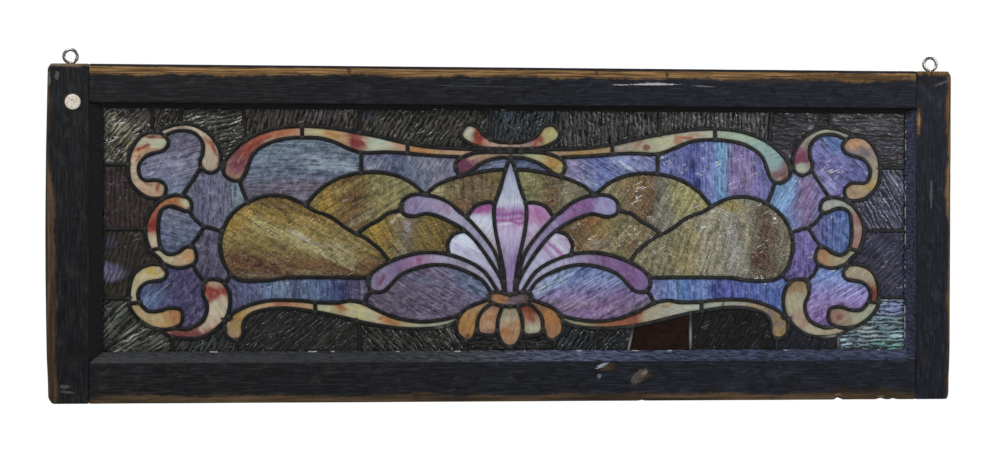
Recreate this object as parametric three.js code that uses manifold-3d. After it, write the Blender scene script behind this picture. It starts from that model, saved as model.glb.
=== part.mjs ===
// Leaded glass window in a painted wooden sash, hung from two screw eyes.
// Millimetres. +Z is up, +X is to the right seen from the front, the front faces -Y.
// The origin is midway between the two screw-eye rings, at half the sash thickness.
import * as THREE from 'three';
import { mergeVertices } from 'three/addons/utils/BufferGeometryUtils.js';
import { ConvexGeometry } from 'three/addons/geometries/ConvexGeometry.js';
import Module from 'manifold-3d';

const wasm = await Module();
wasm.setup();

// Sash
const SASH_W = 1200;
const SASH_H = 443;
const SASH_T = 35;
const STILE_LEFT = 53;
const STILE_RIGHT = 47;
const RAIL_TOP = 50;
const RAIL_BOTTOM = 53;
const LIP_LEFT = 17;
const LIP_RIGHT = 13;
const LIP_TOP = 6;
const LIP_BOTTOM = 14;
const TENON_LENGTH = 20;
const TENON_T = 11;
const TENON_H = 34;
const GAP = 0.3;

// Glazed panel
const CAME_W = 5.8;
const CAME_DEPTH = 6;
const FLANGE_T = 1.2;
const GLASS_T = 3;
const PANEL_SETBACK = 10.5;
const PANEL_CLEAR = 1.5;
const AXIS_X = 4;
const PATTERN_STRETCH = 1.005;
const CHORD_TOLERANCE = 1.3;
const SLIVER_AREA = 60;
const SIMPLIFY = 0.25;

// Putty bead
const BEAD_TOP_SETBACK = 2.2;
const BEAD_TOE = 1.2;

// Screw eyes and tack
const EYE_RING_R = 8.7;
const EYE_WIRE_R = 1.8;
const EYE_SHANK = 18;
const PILOT_CLEAR = 0.3;
const TACK_X = -567.5;
const TACK_Z = 171.5;
const TACK_R = 10.5;
const TACK_T = 1.4;
const TACK_PIN_R = 1.2;
const TACK_PIN_LENGTH = 9;

// Derived levels. Heights on the panel are measured from the middle of the sash.
const EYE_RISE = EYE_RING_R + EYE_WIRE_R + GAP;
const DROP = SASH_H / 2 + EYE_RISE;
const FRONT = -SASH_T / 2;
const BACK = SASH_T / 2;
const CAME_FRONT = FRONT + PANEL_SETBACK;
const CAME_BACK = CAME_FRONT + CAME_DEPTH;
const GLASS_FRONT = CAME_FRONT + FLANGE_T + GAP;
const GLASS_BACK = GLASS_FRONT + GLASS_T;
const LIP_FRONT = CAME_BACK + GAP;
const X_LEFT = -SASH_W / 2 + STILE_LEFT;
const X_RIGHT = SASH_W / 2 - STILE_RIGHT;
const Z_TOP = SASH_H / 2 - RAIL_TOP;
const Z_BOTTOM = -SASH_H / 2 + RAIL_BOTTOM;

// ---------------------------------------------------------------- leading
// Centre lines of the leads on the left half, measured from the axis of symmetry.
// The right half is their mirror image. A closed line ends where it starts.

const closedLeads = {
  upper_curl: [
    [-448, 121.5], [-460, 133], [-480, 130.5], [-497, 107.5], [-499, 77.5], [-494, 63.5],
    [-475, 48], [-455, 48.5], [-451, 61], [-455, 67], [-462, 70.5], [-478, 70.5],
    [-484, 75], [-486, 89.5], [-476, 102.5], [-457, 109], [-451, 113],
  ],
  middle_hook: [
    [-436, 51], [-421, 46], [-418, 34], [-424, 30], [-444, 36.5], [-457, 31],
    [-458, -17], [-448, -26.5], [-434, -23.5], [-428, -18.5], [-421, -16], [-415, -18],
    [-411.5, -32], [-415, -38.5], [-432, -44.5], [-453, -39.5], [-460, -32],
    [-471, -20.5], [-478, 6.5], [-473, 25.5], [-456, 45],
  ],
  lower_curl: [
    [-450, -50.5], [-454, -43.5], [-460, -40], [-477, -41.5], [-493, -54], [-497, -96.5],
    [-474, -120.5], [-451, -125.5], [-432, -118.5], [-430, -103.5], [-434, -98.5],
    [-449, -97.5], [-457, -100.5], [-474, -101], [-485, -89], [-487, -80.5],
    [-485, -72.5], [-480, -66.5], [-473, -63], [-456, -60], [-451, -56],
  ],
};

const openLeads = {
  upper_arc: [
    [-462, 134.5], [-451, 140], [-424, 145], [-397, 133], [-381.5, 109.5], [-381.5, 88.5],
    [-387, 82.5], [-394, 80.5], [-401, 83], [-406, 89], [-407, 96.5], [-404, 104.5],
    [-404, 120.5], [-416, 133.5], [-437, 135.5], [-452, 129.5],
  ],
  lower_arc_outside: [
    [-403, -71.5], [-402, -65], [-397, -60.5], [-381, -61], [-371, -72.5], [-368, -90.5],
    [-374, -112], [-403, -135.5], [-445, -134.5], [-460, -125],
  ],
  lower_arc_inside: [
    [-402, -66], [-403, -78.5], [-397.5, -94], [-401, -110.5], [-407, -117.5],
    [-425, -125], [-440, -123.5],
  ],
  oval_top: [
    [-381, -11.5], [-379, 0.5], [-368, 23.5], [-347, 41], [-319, 51], [-292, 48.5],
    [-269, 37.5], [-258, 30.5], [-245, 26.5], [-233, 20.5], [-220, 10.5], [-207, 2.5],
    [-194, -3.5], [-171, -21.5], [-159, -37],
  ],
  oval_bottom: [
    [-187, -57.5], [-299, -58], [-317, -61], [-360, -58.5], [-376, -38.5], [-381, -11.5],
    [-380, -4],
  ],
  upper_scroll_top: [
    [-377, 87.5], [-375, 95.5], [-369, 104.5], [-349, 123], [-321, 136], [-287, 142],
    [-247, 141.5], [-187, 132], [-117, 117.5], [-29, 112.5],
  ],
  upper_scroll_bottom: [
    [-377, 90], [-376, 79.5], [-370, 73], [-362, 70], [-354, 72], [-349, 78.5],
    [-338, 105.5], [-319, 119.5], [-292, 126.5], [-246, 126], [-206, 110.5], [-195, 108],
    [-159, 109], [-107, 105], [-68, 103],
  ],
  dome_top: [
    [-270, 38], [-253, 57.5], [-229, 73], [-197, 81.5], [-164, 81], [-136, 71.5], [-113, 53.5],
  ],
  dome_divider: [[-202, 0.5], [-188, 11.5], [-174, 19], [-162, 28], [-145, 32]],
  inner_dome_top: [[-111, 54], [-99, 64.5], [-73, 75.5], [-27, 85.5], [-6, 86.5]],
  smile_top: [[-66, 137], [-57, 146], [-45, 144], [-34, 131.5], [-17, 123.5], [1, 122.5]],
  smile_bottom: [[-65, 139], [-66, 134], [-63, 127], [-41, 116], [1, 114]],
  frown_top: [[-73, 88.5], [-72, 95.5], [-67, 101], [-47, 108.5], [1, 110]],
  frown_bottom: [
    [-73, 91], [-71, 83.5], [-67, 79.5], [-61, 80], [-39, 94.5], [-17, 102], [1, 102.5],
  ],
  spear: [
    [0, 103], [-5, 90.5], [-14, 59.5], [-21, 38.5], [-21, 15.5], [-8.5, -49.5], [-6, -78],
  ],
  small_petal: [[-57, 24], [-47, 37.5], [-30, 43], [-21, 41.5]],
  upper_plume_top: [
    [-144.5, 36], [-142.5, 44.5], [-130, 52.5], [-100.5, 50.5], [-81, 42], [-66.5, 29.5],
    [-59, 24], [-21, -22.5], [-9, -62],
  ],
  upper_plume_bottom: [
    [-144.5, 39], [-144, 32], [-140, 26.5], [-127, 24], [-117.5, 26.5], [-108, 27.5],
    [-74, 14], [-49, -5.5], [-11, -62.5], [-8, -78],
  ],
  lower_petal: [[-61, 5], [-76, -1], [-83, -13.5], [-81, -26]],
  lower_plume_top: [
    [-188, -66], [-187, -58.5], [-183, -52], [-165, -39], [-123, -25], [-91, -25],
    [-61, -33.5], [-35, -49], [-16, -76],
  ],
  lower_plume_bottom: [
    [-188, -63], [-186, -71.5], [-181, -76], [-168, -75.5], [-147, -55.5], [-136, -49],
    [-107, -41], [-79, -42], [-39, -59.5], [-24, -78],
  ],
  lobe_end: [[-184, -77], [-189, -82.5], [-192, -91]],
  lower_scroll_top: [
    [-375, -126], [-374, -115.5], [-360, -101.5], [-323, -88.5], [-273, -88],
    [-257, -90], [-227, -90.5], [-212, -88], [-192, -92], [-179, -99], [-151, -110.5],
    [-117, -116], [-83, -112], [-66, -107],
  ],
  lower_scroll_bottom: [
    [-375, -122], [-374, -131.5], [-369, -137.5], [-361, -140], [-354, -137],
    [-351, -130.5], [-351, -121.5], [-349, -114], [-343, -107], [-333, -102],
    [-303, -97.5], [-249, -104], [-167, -122], [-124, -125.5], [-85, -122], [-70, -115.5],
  ],
  knot_top: [[-28, -85], [-28, -80], [-20, -76], [1, -80.5]],
  knot_bottom: [[-29, -81], [-27, -88.5], [-12, -95], [1, -96]],
  outer_drop: [
    [-27, -86], [-60, -100], [-71, -116.5], [-69, -132.5], [-56, -141], [-49, -137.5],
    [-44, -127],
  ],
  drop_divider: [[-22, -91], [-32, -97], [-42, -110.5], [-44, -128.5]],
  inner_drop_bottom: [[-44, -127.5], [-39, -132.5], [-22, -134], [-16, -129]],
  centre_drop_side: [
    [-10, -95], [-16, -113.5], [-16, -131.5], [-8, -147], [1, -150.5],
  ],
};

// Short leads over glass that is drawn as one pane on both sides of them.
const groundLeads = [
  [[-406, 87], [-416, 71.5], [-430, 51]],
  [[-420, 29], [-415, 21], [-402, 10], [-394, 8], [-380, 4]],
  [[-402, 10], [-406, 2.5], [-419, -16]],
  [[-416, -40], [-409, -53.5], [-401, -62]],
  [[-376, -65], [-366, -53]],
  [[-356, 70.5], [-351, 55.5], [-345, 42]],
  [[-197, 81], [-197, 109]],
  [[-474, -22], [-456, -18]],
  [[-501, -91.5], [-484, -90]],
  [[-274.5, 126], [-274.5, 143]],
  [[-136, 107], [-136, 121]],
  [[-257, -89], [-257, -103]],
];

// Straight and nearly straight leads that divide the border.
const borderLeads = [
  [[-545, 91], [-497, 91]],
  [[-545, 6], [-477, 6]],
  [[-545, -84.5], [-496, -84.5]],
  [[-431, 145], [-431, 172]],
  [[-348, 123], [-351, 172]],
  [[-199, 134], [-199, 172]],
  [[-443, -135], [-443, -166]],
  [[-359, -140], [-359, -166]],
  [[-59, -141], [-59, -166]],
];
const borderLeadsLeft = [
  [[-469, 132], [-469, 172]],
  [[-27, 126], [-27, 172]],
  [[-202, -114], [-199, -125], [-198, -166]],
  [[-87, -122], [-80, -130.5], [-74, -143.5], [-66, -166]],
  [[-483, -117], [-545, -162]],
];
const borderLeadsRight = [
  [[-61, 143], [-61, 172]],
  [[-117, -125], [-112, -166]],
  [[-165, -122], [-156, -166]],
  [[-242, -104], [-242, -166]],
];

// ---------------------------------------------------------------- solids

function toManifold(geometry) {
  const bare = geometry.clone();
  bare.deleteAttribute('normal');
  bare.deleteAttribute('uv');
  const merged = mergeVertices(bare, 1e-4);
  const mesh = new wasm.Mesh({
    numProp: 3,
    vertProperties: new Float32Array(merged.attributes.position.array),
    triVerts: new Uint32Array(merged.index.array),
  });
  mesh.merge();
  return new wasm.Manifold(mesh);
}

function toGeometry(solid) {
  const mesh = solid.simplify(SIMPLIFY).getMesh();
  const geometry = new THREE.BufferGeometry();
  geometry.setAttribute('position', new THREE.BufferAttribute(mesh.vertProperties.slice(), 3));
  geometry.setIndex(new THREE.BufferAttribute(mesh.triVerts.slice(), 1));
  const flat = geometry.toNonIndexed();
  flat.computeVertexNormals();
  return flat;
}

function box(x0, x1, y0, y1, z0, z1) {
  const geometry = new THREE.BoxGeometry(x1 - x0, y1 - y0, z1 - z0);
  geometry.translate((x0 + x1) / 2, (y0 + y1) / 2, (z0 + z1) / 2 - DROP);
  return toManifold(geometry);
}

// A flat outline in X and Z, given thickness from y0 to y1.
function plate(shape, y0, y1) {
  const geometry = new THREE.ExtrudeGeometry(shape, { depth: y1 - y0, bevelEnabled: false });
  geometry.rotateX(Math.PI / 2);
  geometry.translate(0, y1, -DROP);
  return toManifold(geometry);
}

function union(solids) {
  let level = solids;
  while (level.length > 1) {
    const next = [];
    for (let i = 0; i < level.length; i += 2) {
      const pair = i + 1 < level.length;
      next.push(pair ? level[i].add(level[i + 1]) : level[i]);
    }
    level = next;
  }
  return level[0];
}

// ---------------------------------------------------------------- lead strokes

// Keeps the points of a fine line that its shape needs at the chord tolerance.
function thin(points, tolerance) {
  const first = points[0];
  const last = points[points.length - 1];
  const span = last.clone().sub(first);
  const length = span.length();
  let worst = 0;
  let at = 0;
  for (let i = 1; i < points.length - 1; i += 1) {
    const offset = points[i].clone().sub(first);
    const away = length > 1e-6 ? Math.abs(span.cross(offset)) / length : offset.length();
    if (away > worst) {
      worst = away;
      at = i;
    }
  }
  if (worst < tolerance) return [first, last];
  const head = thin(points.slice(0, at + 1), tolerance);
  const tail = thin(points.slice(at), tolerance);
  return head.concat(tail.slice(1));
}

// A distance from the pattern's axis as a place on the panel; the lines are widened a little.
const across = (u) => AXIS_X + PATTERN_STRETCH * u;

function centreLine(points, closed, side) {
  const knots = points.map(([u, v]) => new THREE.Vector3(across(-side * u), v, 0));
  if (knots.length === 2) return knots.map((k) => new THREE.Vector2(k.x, k.y));
  const curve = new THREE.CatmullRomCurve3(knots, closed, 'centripetal');
  const fine = curve.getPoints(points.length * 14).map((k) => new THREE.Vector2(k.x, k.y));
  if (!closed) return thin(fine, CHORD_TOLERANCE);
  const half = Math.floor(fine.length / 2);
  const head = thin(fine.slice(0, half + 1), CHORD_TOLERANCE);
  const tail = thin(fine.slice(half), CHORD_TOLERANCE);
  return head.concat(tail.slice(1, -1));
}

// The line moved sideways by a distance, with mitred corners.
function offsetLine(line, closed, distance) {
  const count = line.length;
  return line.map((point, i) => {
    const before = closed ? line[(i - 1 + count) % count] : line[Math.max(i - 1, 0)];
    const after = closed ? line[(i + 1) % count] : line[Math.min(i + 1, count - 1)];
    const a = point.clone().sub(before).normalize();
    const b = after.clone().sub(point).normalize();
    const along = a.clone().add(b).normalize();
    const reference = a.lengthSq() > 0.5 ? a : b;
    const stretch = 1 / Math.max(along.dot(reference), 0.6);
    return new THREE.Vector2(
      point.x - along.y * distance * stretch,
      point.y + along.x * distance * stretch,
    );
  });
}

function ribbon(left, right, y0, y1) {
  return plate(new THREE.Shape(left.concat(right.slice().reverse())), y0, y1);
}

// A closed line is drawn as two ribbons that meet end to end.
function stroke(line, closed, width, y0, y1) {
  const left = offsetLine(line, closed, width / 2);
  const right = offsetLine(line, closed, -width / 2);
  if (!closed) return ribbon(left, right, y0, y1);
  const half = Math.floor(line.length / 2);
  const head = ribbon(left.slice(0, half + 1), right.slice(0, half + 1), y0, y1);
  const tail = ribbon(
    left.slice(half).concat(left[0]), right.slice(half).concat(right[0]), y0, y1,
  );
  return head.add(tail);
}

const LEFT = -1;
const RIGHT = 1;
const fullLines = [];
const flangeLines = [];
for (const side of [LEFT, RIGHT]) {
  for (const points of Object.values(closedLeads)) {
    fullLines.push({ line: centreLine(points, true, side), closed: true });
  }
  for (const points of Object.values(openLeads)) {
    fullLines.push({ line: centreLine(points, false, side), closed: false });
  }
  for (const points of groundLeads.concat(borderLeads)) {
    flangeLines.push(centreLine(points, false, side));
  }
}
for (const points of borderLeadsLeft) flangeLines.push(centreLine(points, false, LEFT));
for (const points of borderLeadsRight) flangeLines.push(centreLine(points, false, RIGHT));

const panel = {
  x0: X_LEFT + PANEL_CLEAR,
  x1: X_RIGHT - PANEL_CLEAR,
  z0: Z_BOTTOM + PANEL_CLEAR,
  z1: Z_TOP - PANEL_CLEAR,
};

function panelBox(inset, y0, y1) {
  return box(panel.x0 + inset, panel.x1 - inset, y0, y1, panel.z0 + inset, panel.z1 - inset);
}

function footprint(solid, depth) {
  return solid.volume() / depth;
}

// Lead: bars of full depth, and thin flanges in front of and behind the joined panes.
const bars = union(fullLines.map(({ line, closed }) => {
  return stroke(line, closed, CAME_W, CAME_FRONT, CAME_BACK);
}));
const spaces = panelBox(CAME_W, CAME_FRONT, CAME_BACK).subtract(bars).decompose();
const slivers = spaces.filter((space) => footprint(space, CAME_DEPTH) < SLIVER_AREA);
const edgeCame = panelBox(0, CAME_FRONT, CAME_BACK)
  .subtract(panelBox(CAME_W, CAME_FRONT - 1, CAME_BACK + 1));
const flanges = [];
for (const line of flangeLines) {
  flanges.push(stroke(line, false, CAME_W, CAME_FRONT, CAME_FRONT + FLANGE_T));
  flanges.push(stroke(line, false, CAME_W, CAME_BACK - FLANGE_T, CAME_BACK));
}
const leadLimit = panelBox(0, CAME_FRONT - 1, CAME_BACK + 1);
const flangeGrid = union(flanges).intersect(leadLimit);
const lattice = union([bars, edgeCame, flangeGrid].concat(slivers));

// Glass: one plate cut along the bars, with a small clearance at every edge.
const cutters = fullLines.map(({ line, closed }) => {
  return stroke(line, closed, CAME_W + 2 * GAP, GLASS_FRONT - 1, GLASS_BACK + 1);
});
const panes = panelBox(CAME_W + GAP, GLASS_FRONT, GLASS_BACK).subtract(union(cutters)).decompose();

// ---------------------------------------------------------------- nodes

const materials = {
  wood: { color: 0x1d1f26, roughness: 0.55, metalness: 0 },
  putty: { color: 0x24272e, roughness: 0.6, metalness: 0 },
  lead: { color: 0x2b2b2d, roughness: 0.5, metalness: 0.6 },
  steel: { color: 0xb9b6ae, roughness: 0.35, metalness: 1 },
  tack: { color: 0xd9c9a3, roughness: 0.6, metalness: 0 },
  border_glass: { color: 0x35332f, roughness: 0.15, metalness: 0 },
  ground_glass: { color: 0x8a8bab, roughness: 0.2, metalness: 0 },
  amber_glass: { color: 0x94814a, roughness: 0.2, metalness: 0 },
  scroll_glass: { color: 0xd3c194, roughness: 0.2, metalness: 0 },
  plume_glass: { color: 0xa995bd, roughness: 0.2, metalness: 0 },
  pink_glass: { color: 0xcdb2cf, roughness: 0.2, metalness: 0 },
  peach_glass: { color: 0xc6a173, roughness: 0.2, metalness: 0 },
};

const group = new THREE.Group();
group.name = 'stained_glass_window';

function addNode(name, solid, slot) {
  const mesh = new THREE.Mesh(toGeometry(solid), new THREE.MeshStandardMaterial(materials[slot]));
  mesh.name = name;
  mesh.material.name = slot;
  group.add(mesh);
}

// Sash: two stiles through the full height, two rails with stub tenons.
const lipLeft = X_LEFT + LIP_LEFT;
const lipRight = X_RIGHT - LIP_RIGHT;
const lipTop = Z_TOP - LIP_TOP;
const lipBottom = Z_BOTTOM + LIP_BOTTOM;
const zTop = SASH_H / 2;
const tenonLevels = [(zTop + Z_TOP) / 2, (-zTop + Z_BOTTOM) / 2];

function tenon(x0, x1, level, clear) {
  const halfT = TENON_T / 2 + clear;
  const halfH = TENON_H / 2 + clear;
  return box(x0 - clear, x1 + clear, -halfT, halfT, level - halfH, level + halfH);
}

function pilotHole(x) {
  const radius = EYE_WIRE_R + PILOT_CLEAR;
  const hole = new THREE.CylinderGeometry(radius, radius, EYE_SHANK + 2, 16);
  hole.rotateX(Math.PI / 2);
  hole.translate(x, 0, zTop - EYE_SHANK / 2 - DROP);
  return toManifold(hole);
}

const eyeXLeft = -SASH_W / 2 + STILE_LEFT / 2;
const eyeXRight = SASH_W / 2 - STILE_RIGHT / 2;

const tackHole = new THREE.CylinderGeometry(
  TACK_PIN_R + PILOT_CLEAR, TACK_PIN_R + PILOT_CLEAR, TACK_PIN_LENGTH + 2, 12,
);
tackHole.translate(TACK_X, FRONT + TACK_PIN_LENGTH / 2, TACK_Z - DROP);

let stileLeft = box(-SASH_W / 2, X_LEFT, FRONT, BACK, -zTop, zTop)
  .add(box(X_LEFT - 1, lipLeft, LIP_FRONT, BACK, -zTop, zTop));
let stileRight = box(X_RIGHT, SASH_W / 2, FRONT, BACK, -zTop, zTop)
  .add(box(lipRight, X_RIGHT + 1, LIP_FRONT, BACK, -zTop, zTop));
for (const level of tenonLevels) {
  stileLeft = stileLeft.subtract(tenon(X_LEFT - TENON_LENGTH, lipLeft + 1, level, GAP));
  stileRight = stileRight.subtract(tenon(lipRight - 1, X_RIGHT + TENON_LENGTH, level, GAP));
}
stileLeft = stileLeft.subtract(pilotHole(eyeXLeft)).subtract(toManifold(tackHole));
stileRight = stileRight.subtract(pilotHole(eyeXRight));
addNode('stile_left', stileLeft, 'wood');
addNode('stile_right', stileRight, 'wood');

function rail(z0, z1, lipZ0, lipZ1, level) {
  const face = box(X_LEFT + GAP, X_RIGHT - GAP, FRONT, LIP_FRONT + 0.1, z0, z1);
  const back = box(lipLeft + GAP, lipRight - GAP, LIP_FRONT, BACK, lipZ0, lipZ1);
  const body = face.add(back);
  const stub = tenon(X_LEFT - TENON_LENGTH, X_RIGHT + TENON_LENGTH, level, 0);
  const lipClear = box(
    X_LEFT - GAP, lipLeft + GAP, LIP_FRONT - GAP, BACK + 1, z0 - 1, z1 + 1,
  ).add(box(lipRight - GAP, X_RIGHT + GAP, LIP_FRONT - GAP, BACK + 1, z0 - 1, z1 + 1));
  return body.subtract(lipClear).add(stub);
}

addNode('rail_top', rail(Z_TOP, zTop, lipTop, zTop, tenonLevels[0]), 'wood');
addNode('rail_bottom', rail(-zTop, Z_BOTTOM, -zTop, lipBottom, tenonLevels[1]), 'wood');

// Putty beads: sloping strips from the inner arris of the sash down to the leading.
const outer = { x0: X_LEFT + GAP, x1: X_RIGHT - GAP, z0: Z_BOTTOM + GAP, z1: Z_TOP - GAP };
const inner = { x0: lipLeft, x1: lipRight, z0: lipBottom, z1: lipTop };
const beadHigh = FRONT + BEAD_TOP_SETBACK;
const beadLow = CAME_FRONT - GAP;

function bead(outerA, outerB, innerA, innerB) {
  const corners = [];
  for (const [x, z] of [outerA, outerB]) {
    corners.push(new THREE.Vector3(x, beadHigh, z - DROP));
    corners.push(new THREE.Vector3(x, beadLow, z - DROP));
  }
  for (const [x, z] of [innerA, innerB]) {
    corners.push(new THREE.Vector3(x, beadLow - BEAD_TOE, z - DROP));
    corners.push(new THREE.Vector3(x, beadLow, z - DROP));
  }
  return toManifold(new ConvexGeometry(corners));
}

const mitre = GAP / 2;
addNode('bead_top', bead(
  [outer.x0 + mitre, outer.z1], [outer.x1 - mitre, outer.z1],
  [inner.x0 + mitre, inner.z1], [inner.x1 - mitre, inner.z1],
), 'putty');
addNode('bead_bottom', bead(
  [outer.x0 + mitre, outer.z0], [outer.x1 - mitre, outer.z0],
  [inner.x0 + mitre, inner.z0], [inner.x1 - mitre, inner.z0],
), 'putty');
addNode('bead_left', bead(
  [outer.x0, outer.z0 + mitre], [outer.x0, outer.z1 - mitre],
  [inner.x0, inner.z0 + mitre], [inner.x0, inner.z1 - mitre],
), 'putty');
addNode('bead_right', bead(
  [outer.x1, outer.z0 + mitre], [outer.x1, outer.z1 - mitre],
  [inner.x1, inner.z0 + mitre], [inner.x1, inner.z1 - mitre],
), 'putty');

// Screw eyes: a wire ring standing on a shank that runs down into the stile.
function screwEye(x) {
  const section = new THREE.Path();
  section.absarc(EYE_RING_R, 0, EYE_WIRE_R, 0, Math.PI * 2, false);
  const ring = new THREE.LatheGeometry(section.getPoints(4), 20);
  ring.translate(x, 0, 0);
  const length = EYE_SHANK + EYE_WIRE_R;
  const shank = new THREE.CylinderGeometry(EYE_WIRE_R, EYE_WIRE_R, length, 12);
  shank.rotateX(Math.PI / 2);
  shank.translate(x, 0, -EYE_RING_R - length / 2);
  return toManifold(ring).add(toManifold(shank));
}
addNode('screw_eye_left', screwEye(eyeXLeft), 'steel');
addNode('screw_eye_right', screwEye(eyeXRight), 'steel');

// Sash tack: a low domed head with its pin in the stile.
const tackProfile = [
  new THREE.Vector2(0, -TACK_PIN_LENGTH),
  new THREE.Vector2(TACK_PIN_R, -TACK_PIN_LENGTH),
  new THREE.Vector2(TACK_PIN_R, GAP),
  new THREE.Vector2(TACK_R - 0.5, GAP),
  new THREE.Vector2(TACK_R, GAP + 0.5),
  new THREE.Vector2(TACK_R - 1.5, GAP + TACK_T),
  new THREE.Vector2(0, GAP + TACK_T),
];
const tack = new THREE.LatheGeometry(tackProfile, 16);
tack.rotateX(Math.PI);
tack.translate(TACK_X, FRONT, TACK_Z - DROP);
addNode('tack', toManifold(tack), 'tack');

addNode('lead_lattice', lattice, 'lead');

// Panes are named by the point that each one covers. Paired panes name their left one.
const pairedPanes = [
  ['ground', -440, 100, 'ground_glass'],
  ['curl_upper', -470, 125, 'scroll_glass'],
  ['arc_upper', -394, 94, 'scroll_glass'],
  ['hook_middle', -469, 0, 'scroll_glass'],
  ['curl_lower', -441, -110, 'scroll_glass'],
  ['arc_lower', -385, -80, 'scroll_glass'],
  ['scroll_upper', -362, 88, 'scroll_glass'],
  ['scroll_lower', -362, -125, 'scroll_glass'],
  ['oval', -300, 0, 'amber_glass'],
  ['dome_outer', -200, 50, 'amber_glass'],
  ['dome_middle', -140, 5, 'amber_glass'],
  ['dome_inner', -60, 60, 'amber_glass'],
  ['crest_fill', -36, 89.5, 'ground_glass'],
  ['petal_upper', -34, 30, 'pink_glass'],
  ['petal_lower', -68, -12, 'pink_glass'],
  ['plume_upper', -130, 40, 'plume_glass'],
  ['plume_lower', -175, -60, 'plume_glass'],
  ['lobe', -120, -80, 'plume_glass'],
  ['drop_outer', -58, -120, 'peach_glass'],
  ['drop_inner', -30, -118, 'peach_glass'],
];
const centrePanes = [
  ['border', -525, 40, 'border_glass'],
  ['crest_upper', -56, 137, 'scroll_glass'],
  ['crest_lower', -62, 92, 'scroll_glass'],
  ['spear', 0, 30, 'plume_glass'],
  ['knot', 0, -88, 'peach_glass'],
  ['drop_centre', 0, -125, 'peach_glass'],
];

function paneAt(x, z) {
  const probe = box(x - 0.4, x + 0.4, GLASS_FRONT + 1, GLASS_BACK - 1, z - 0.4, z + 0.4);
  const found = panes.filter((pane) => !pane.intersect(probe).isEmpty());
  if (found.length !== 1) throw new Error(`no single pane covers ${x}, ${z}`);
  return found[0];
}

for (const [name, u, v, slot] of pairedPanes) {
  addNode(`${name}_left`, paneAt(across(u), v), slot);
  addNode(`${name}_right`, paneAt(across(-u), v), slot);
}
for (const [name, u, v, slot] of centrePanes) {
  addNode(name, paneAt(across(u), v), slot);
}

export default group;
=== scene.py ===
"""Looks of a leaded glass window in a worn painted sash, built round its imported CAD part.

Lengths are millimetres on the window: x to the right from the middle of the sash, z up from it,
y back from the middle of its thickness. make_object turns them into metres in the part's frame.
"""
import math

import bpy
import numpy as np
from mathutils import Matrix, Vector, kdtree
from mathutils.geometry import delaunay_2d_cdt


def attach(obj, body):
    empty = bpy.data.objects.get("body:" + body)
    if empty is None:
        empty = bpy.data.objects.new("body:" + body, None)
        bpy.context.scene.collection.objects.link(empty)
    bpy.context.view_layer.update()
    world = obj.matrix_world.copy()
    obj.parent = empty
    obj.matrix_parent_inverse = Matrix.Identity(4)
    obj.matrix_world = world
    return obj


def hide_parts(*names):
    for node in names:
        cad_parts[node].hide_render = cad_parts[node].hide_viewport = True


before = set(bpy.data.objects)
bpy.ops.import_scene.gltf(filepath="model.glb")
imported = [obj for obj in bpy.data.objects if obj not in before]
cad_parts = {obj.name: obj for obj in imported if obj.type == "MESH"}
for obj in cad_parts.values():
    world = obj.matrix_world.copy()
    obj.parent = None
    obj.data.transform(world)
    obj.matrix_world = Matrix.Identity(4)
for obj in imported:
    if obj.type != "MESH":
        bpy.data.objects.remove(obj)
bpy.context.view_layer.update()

# Driving dimensions, the same as the CAD part's.
MM = 0.001
SASH_W, SASH_H, SASH_T = 1200.0, 443.0, 35.0
STILE_LEFT, STILE_RIGHT, RAIL_TOP, RAIL_BOTTOM = 53.0, 47.0, 50.0, 53.0
LIP_LEFT, LIP_RIGHT, LIP_TOP, LIP_BOTTOM = 17.0, 13.0, 6.0, 14.0
AXIS_X, PATTERN_STRETCH = 4.0, 1.005
CAME_W, CAME_DEPTH, GLASS_T, PANEL_CLEAR = 5.8, 6.0, 3.0, 1.5
EYE_RING_R, EYE_WIRE_R, EYE_SHANK = 8.7, 1.8, 18.0
TACK_X, TACK_Z, TACK_R = -567.5, 171.5, 10.5

HALF_W, HALF_H = SASH_W / 2, SASH_H / 2
FRONT, BACK = -SASH_T / 2, SASH_T / 2
CAME_FRONT = FRONT + 10.5
CAME_BACK = CAME_FRONT + CAME_DEPTH
GLASS_FRONT = CAME_FRONT + 1.5
GLASS_BACK = GLASS_FRONT + GLASS_T
LIP_FRONT = CAME_BACK + 0.3
X_LEFT, X_RIGHT = -HALF_W + STILE_LEFT, HALF_W - STILE_RIGHT
Z_TOP, Z_BOTTOM = HALF_H - RAIL_TOP, -HALF_H + RAIL_BOTTOM
EYE_Z = HALF_H + EYE_RING_R + EYE_WIRE_R + 0.3
EYE_X = (-HALF_W + STILE_LEFT / 2, HALF_W - STILE_RIGHT / 2)

# Centre line of the lead that runs round the panel's edge.
RIM_X = (X_LEFT + PANEL_CLEAR + CAME_W / 2, X_RIGHT - PANEL_CLEAR - CAME_W / 2)
RIM_Z = (Z_BOTTOM + PANEL_CLEAR + CAME_W / 2, Z_TOP - PANEL_CLEAR - CAME_W / 2)

# Distances between neighbouring points of the finer surfaces.
LEAD_STEP = 1.6
GLASS_STEP = 2.2
WOOD_STEP = 3.0
PUTTY_STEP = 2.2

# ------------------------------------------------------------------ leads
# Centre lines of the leads on the left half, from the axis of symmetry; the right half mirrors
# them. All but the welds are the same lines as the CAD part's.

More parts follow.
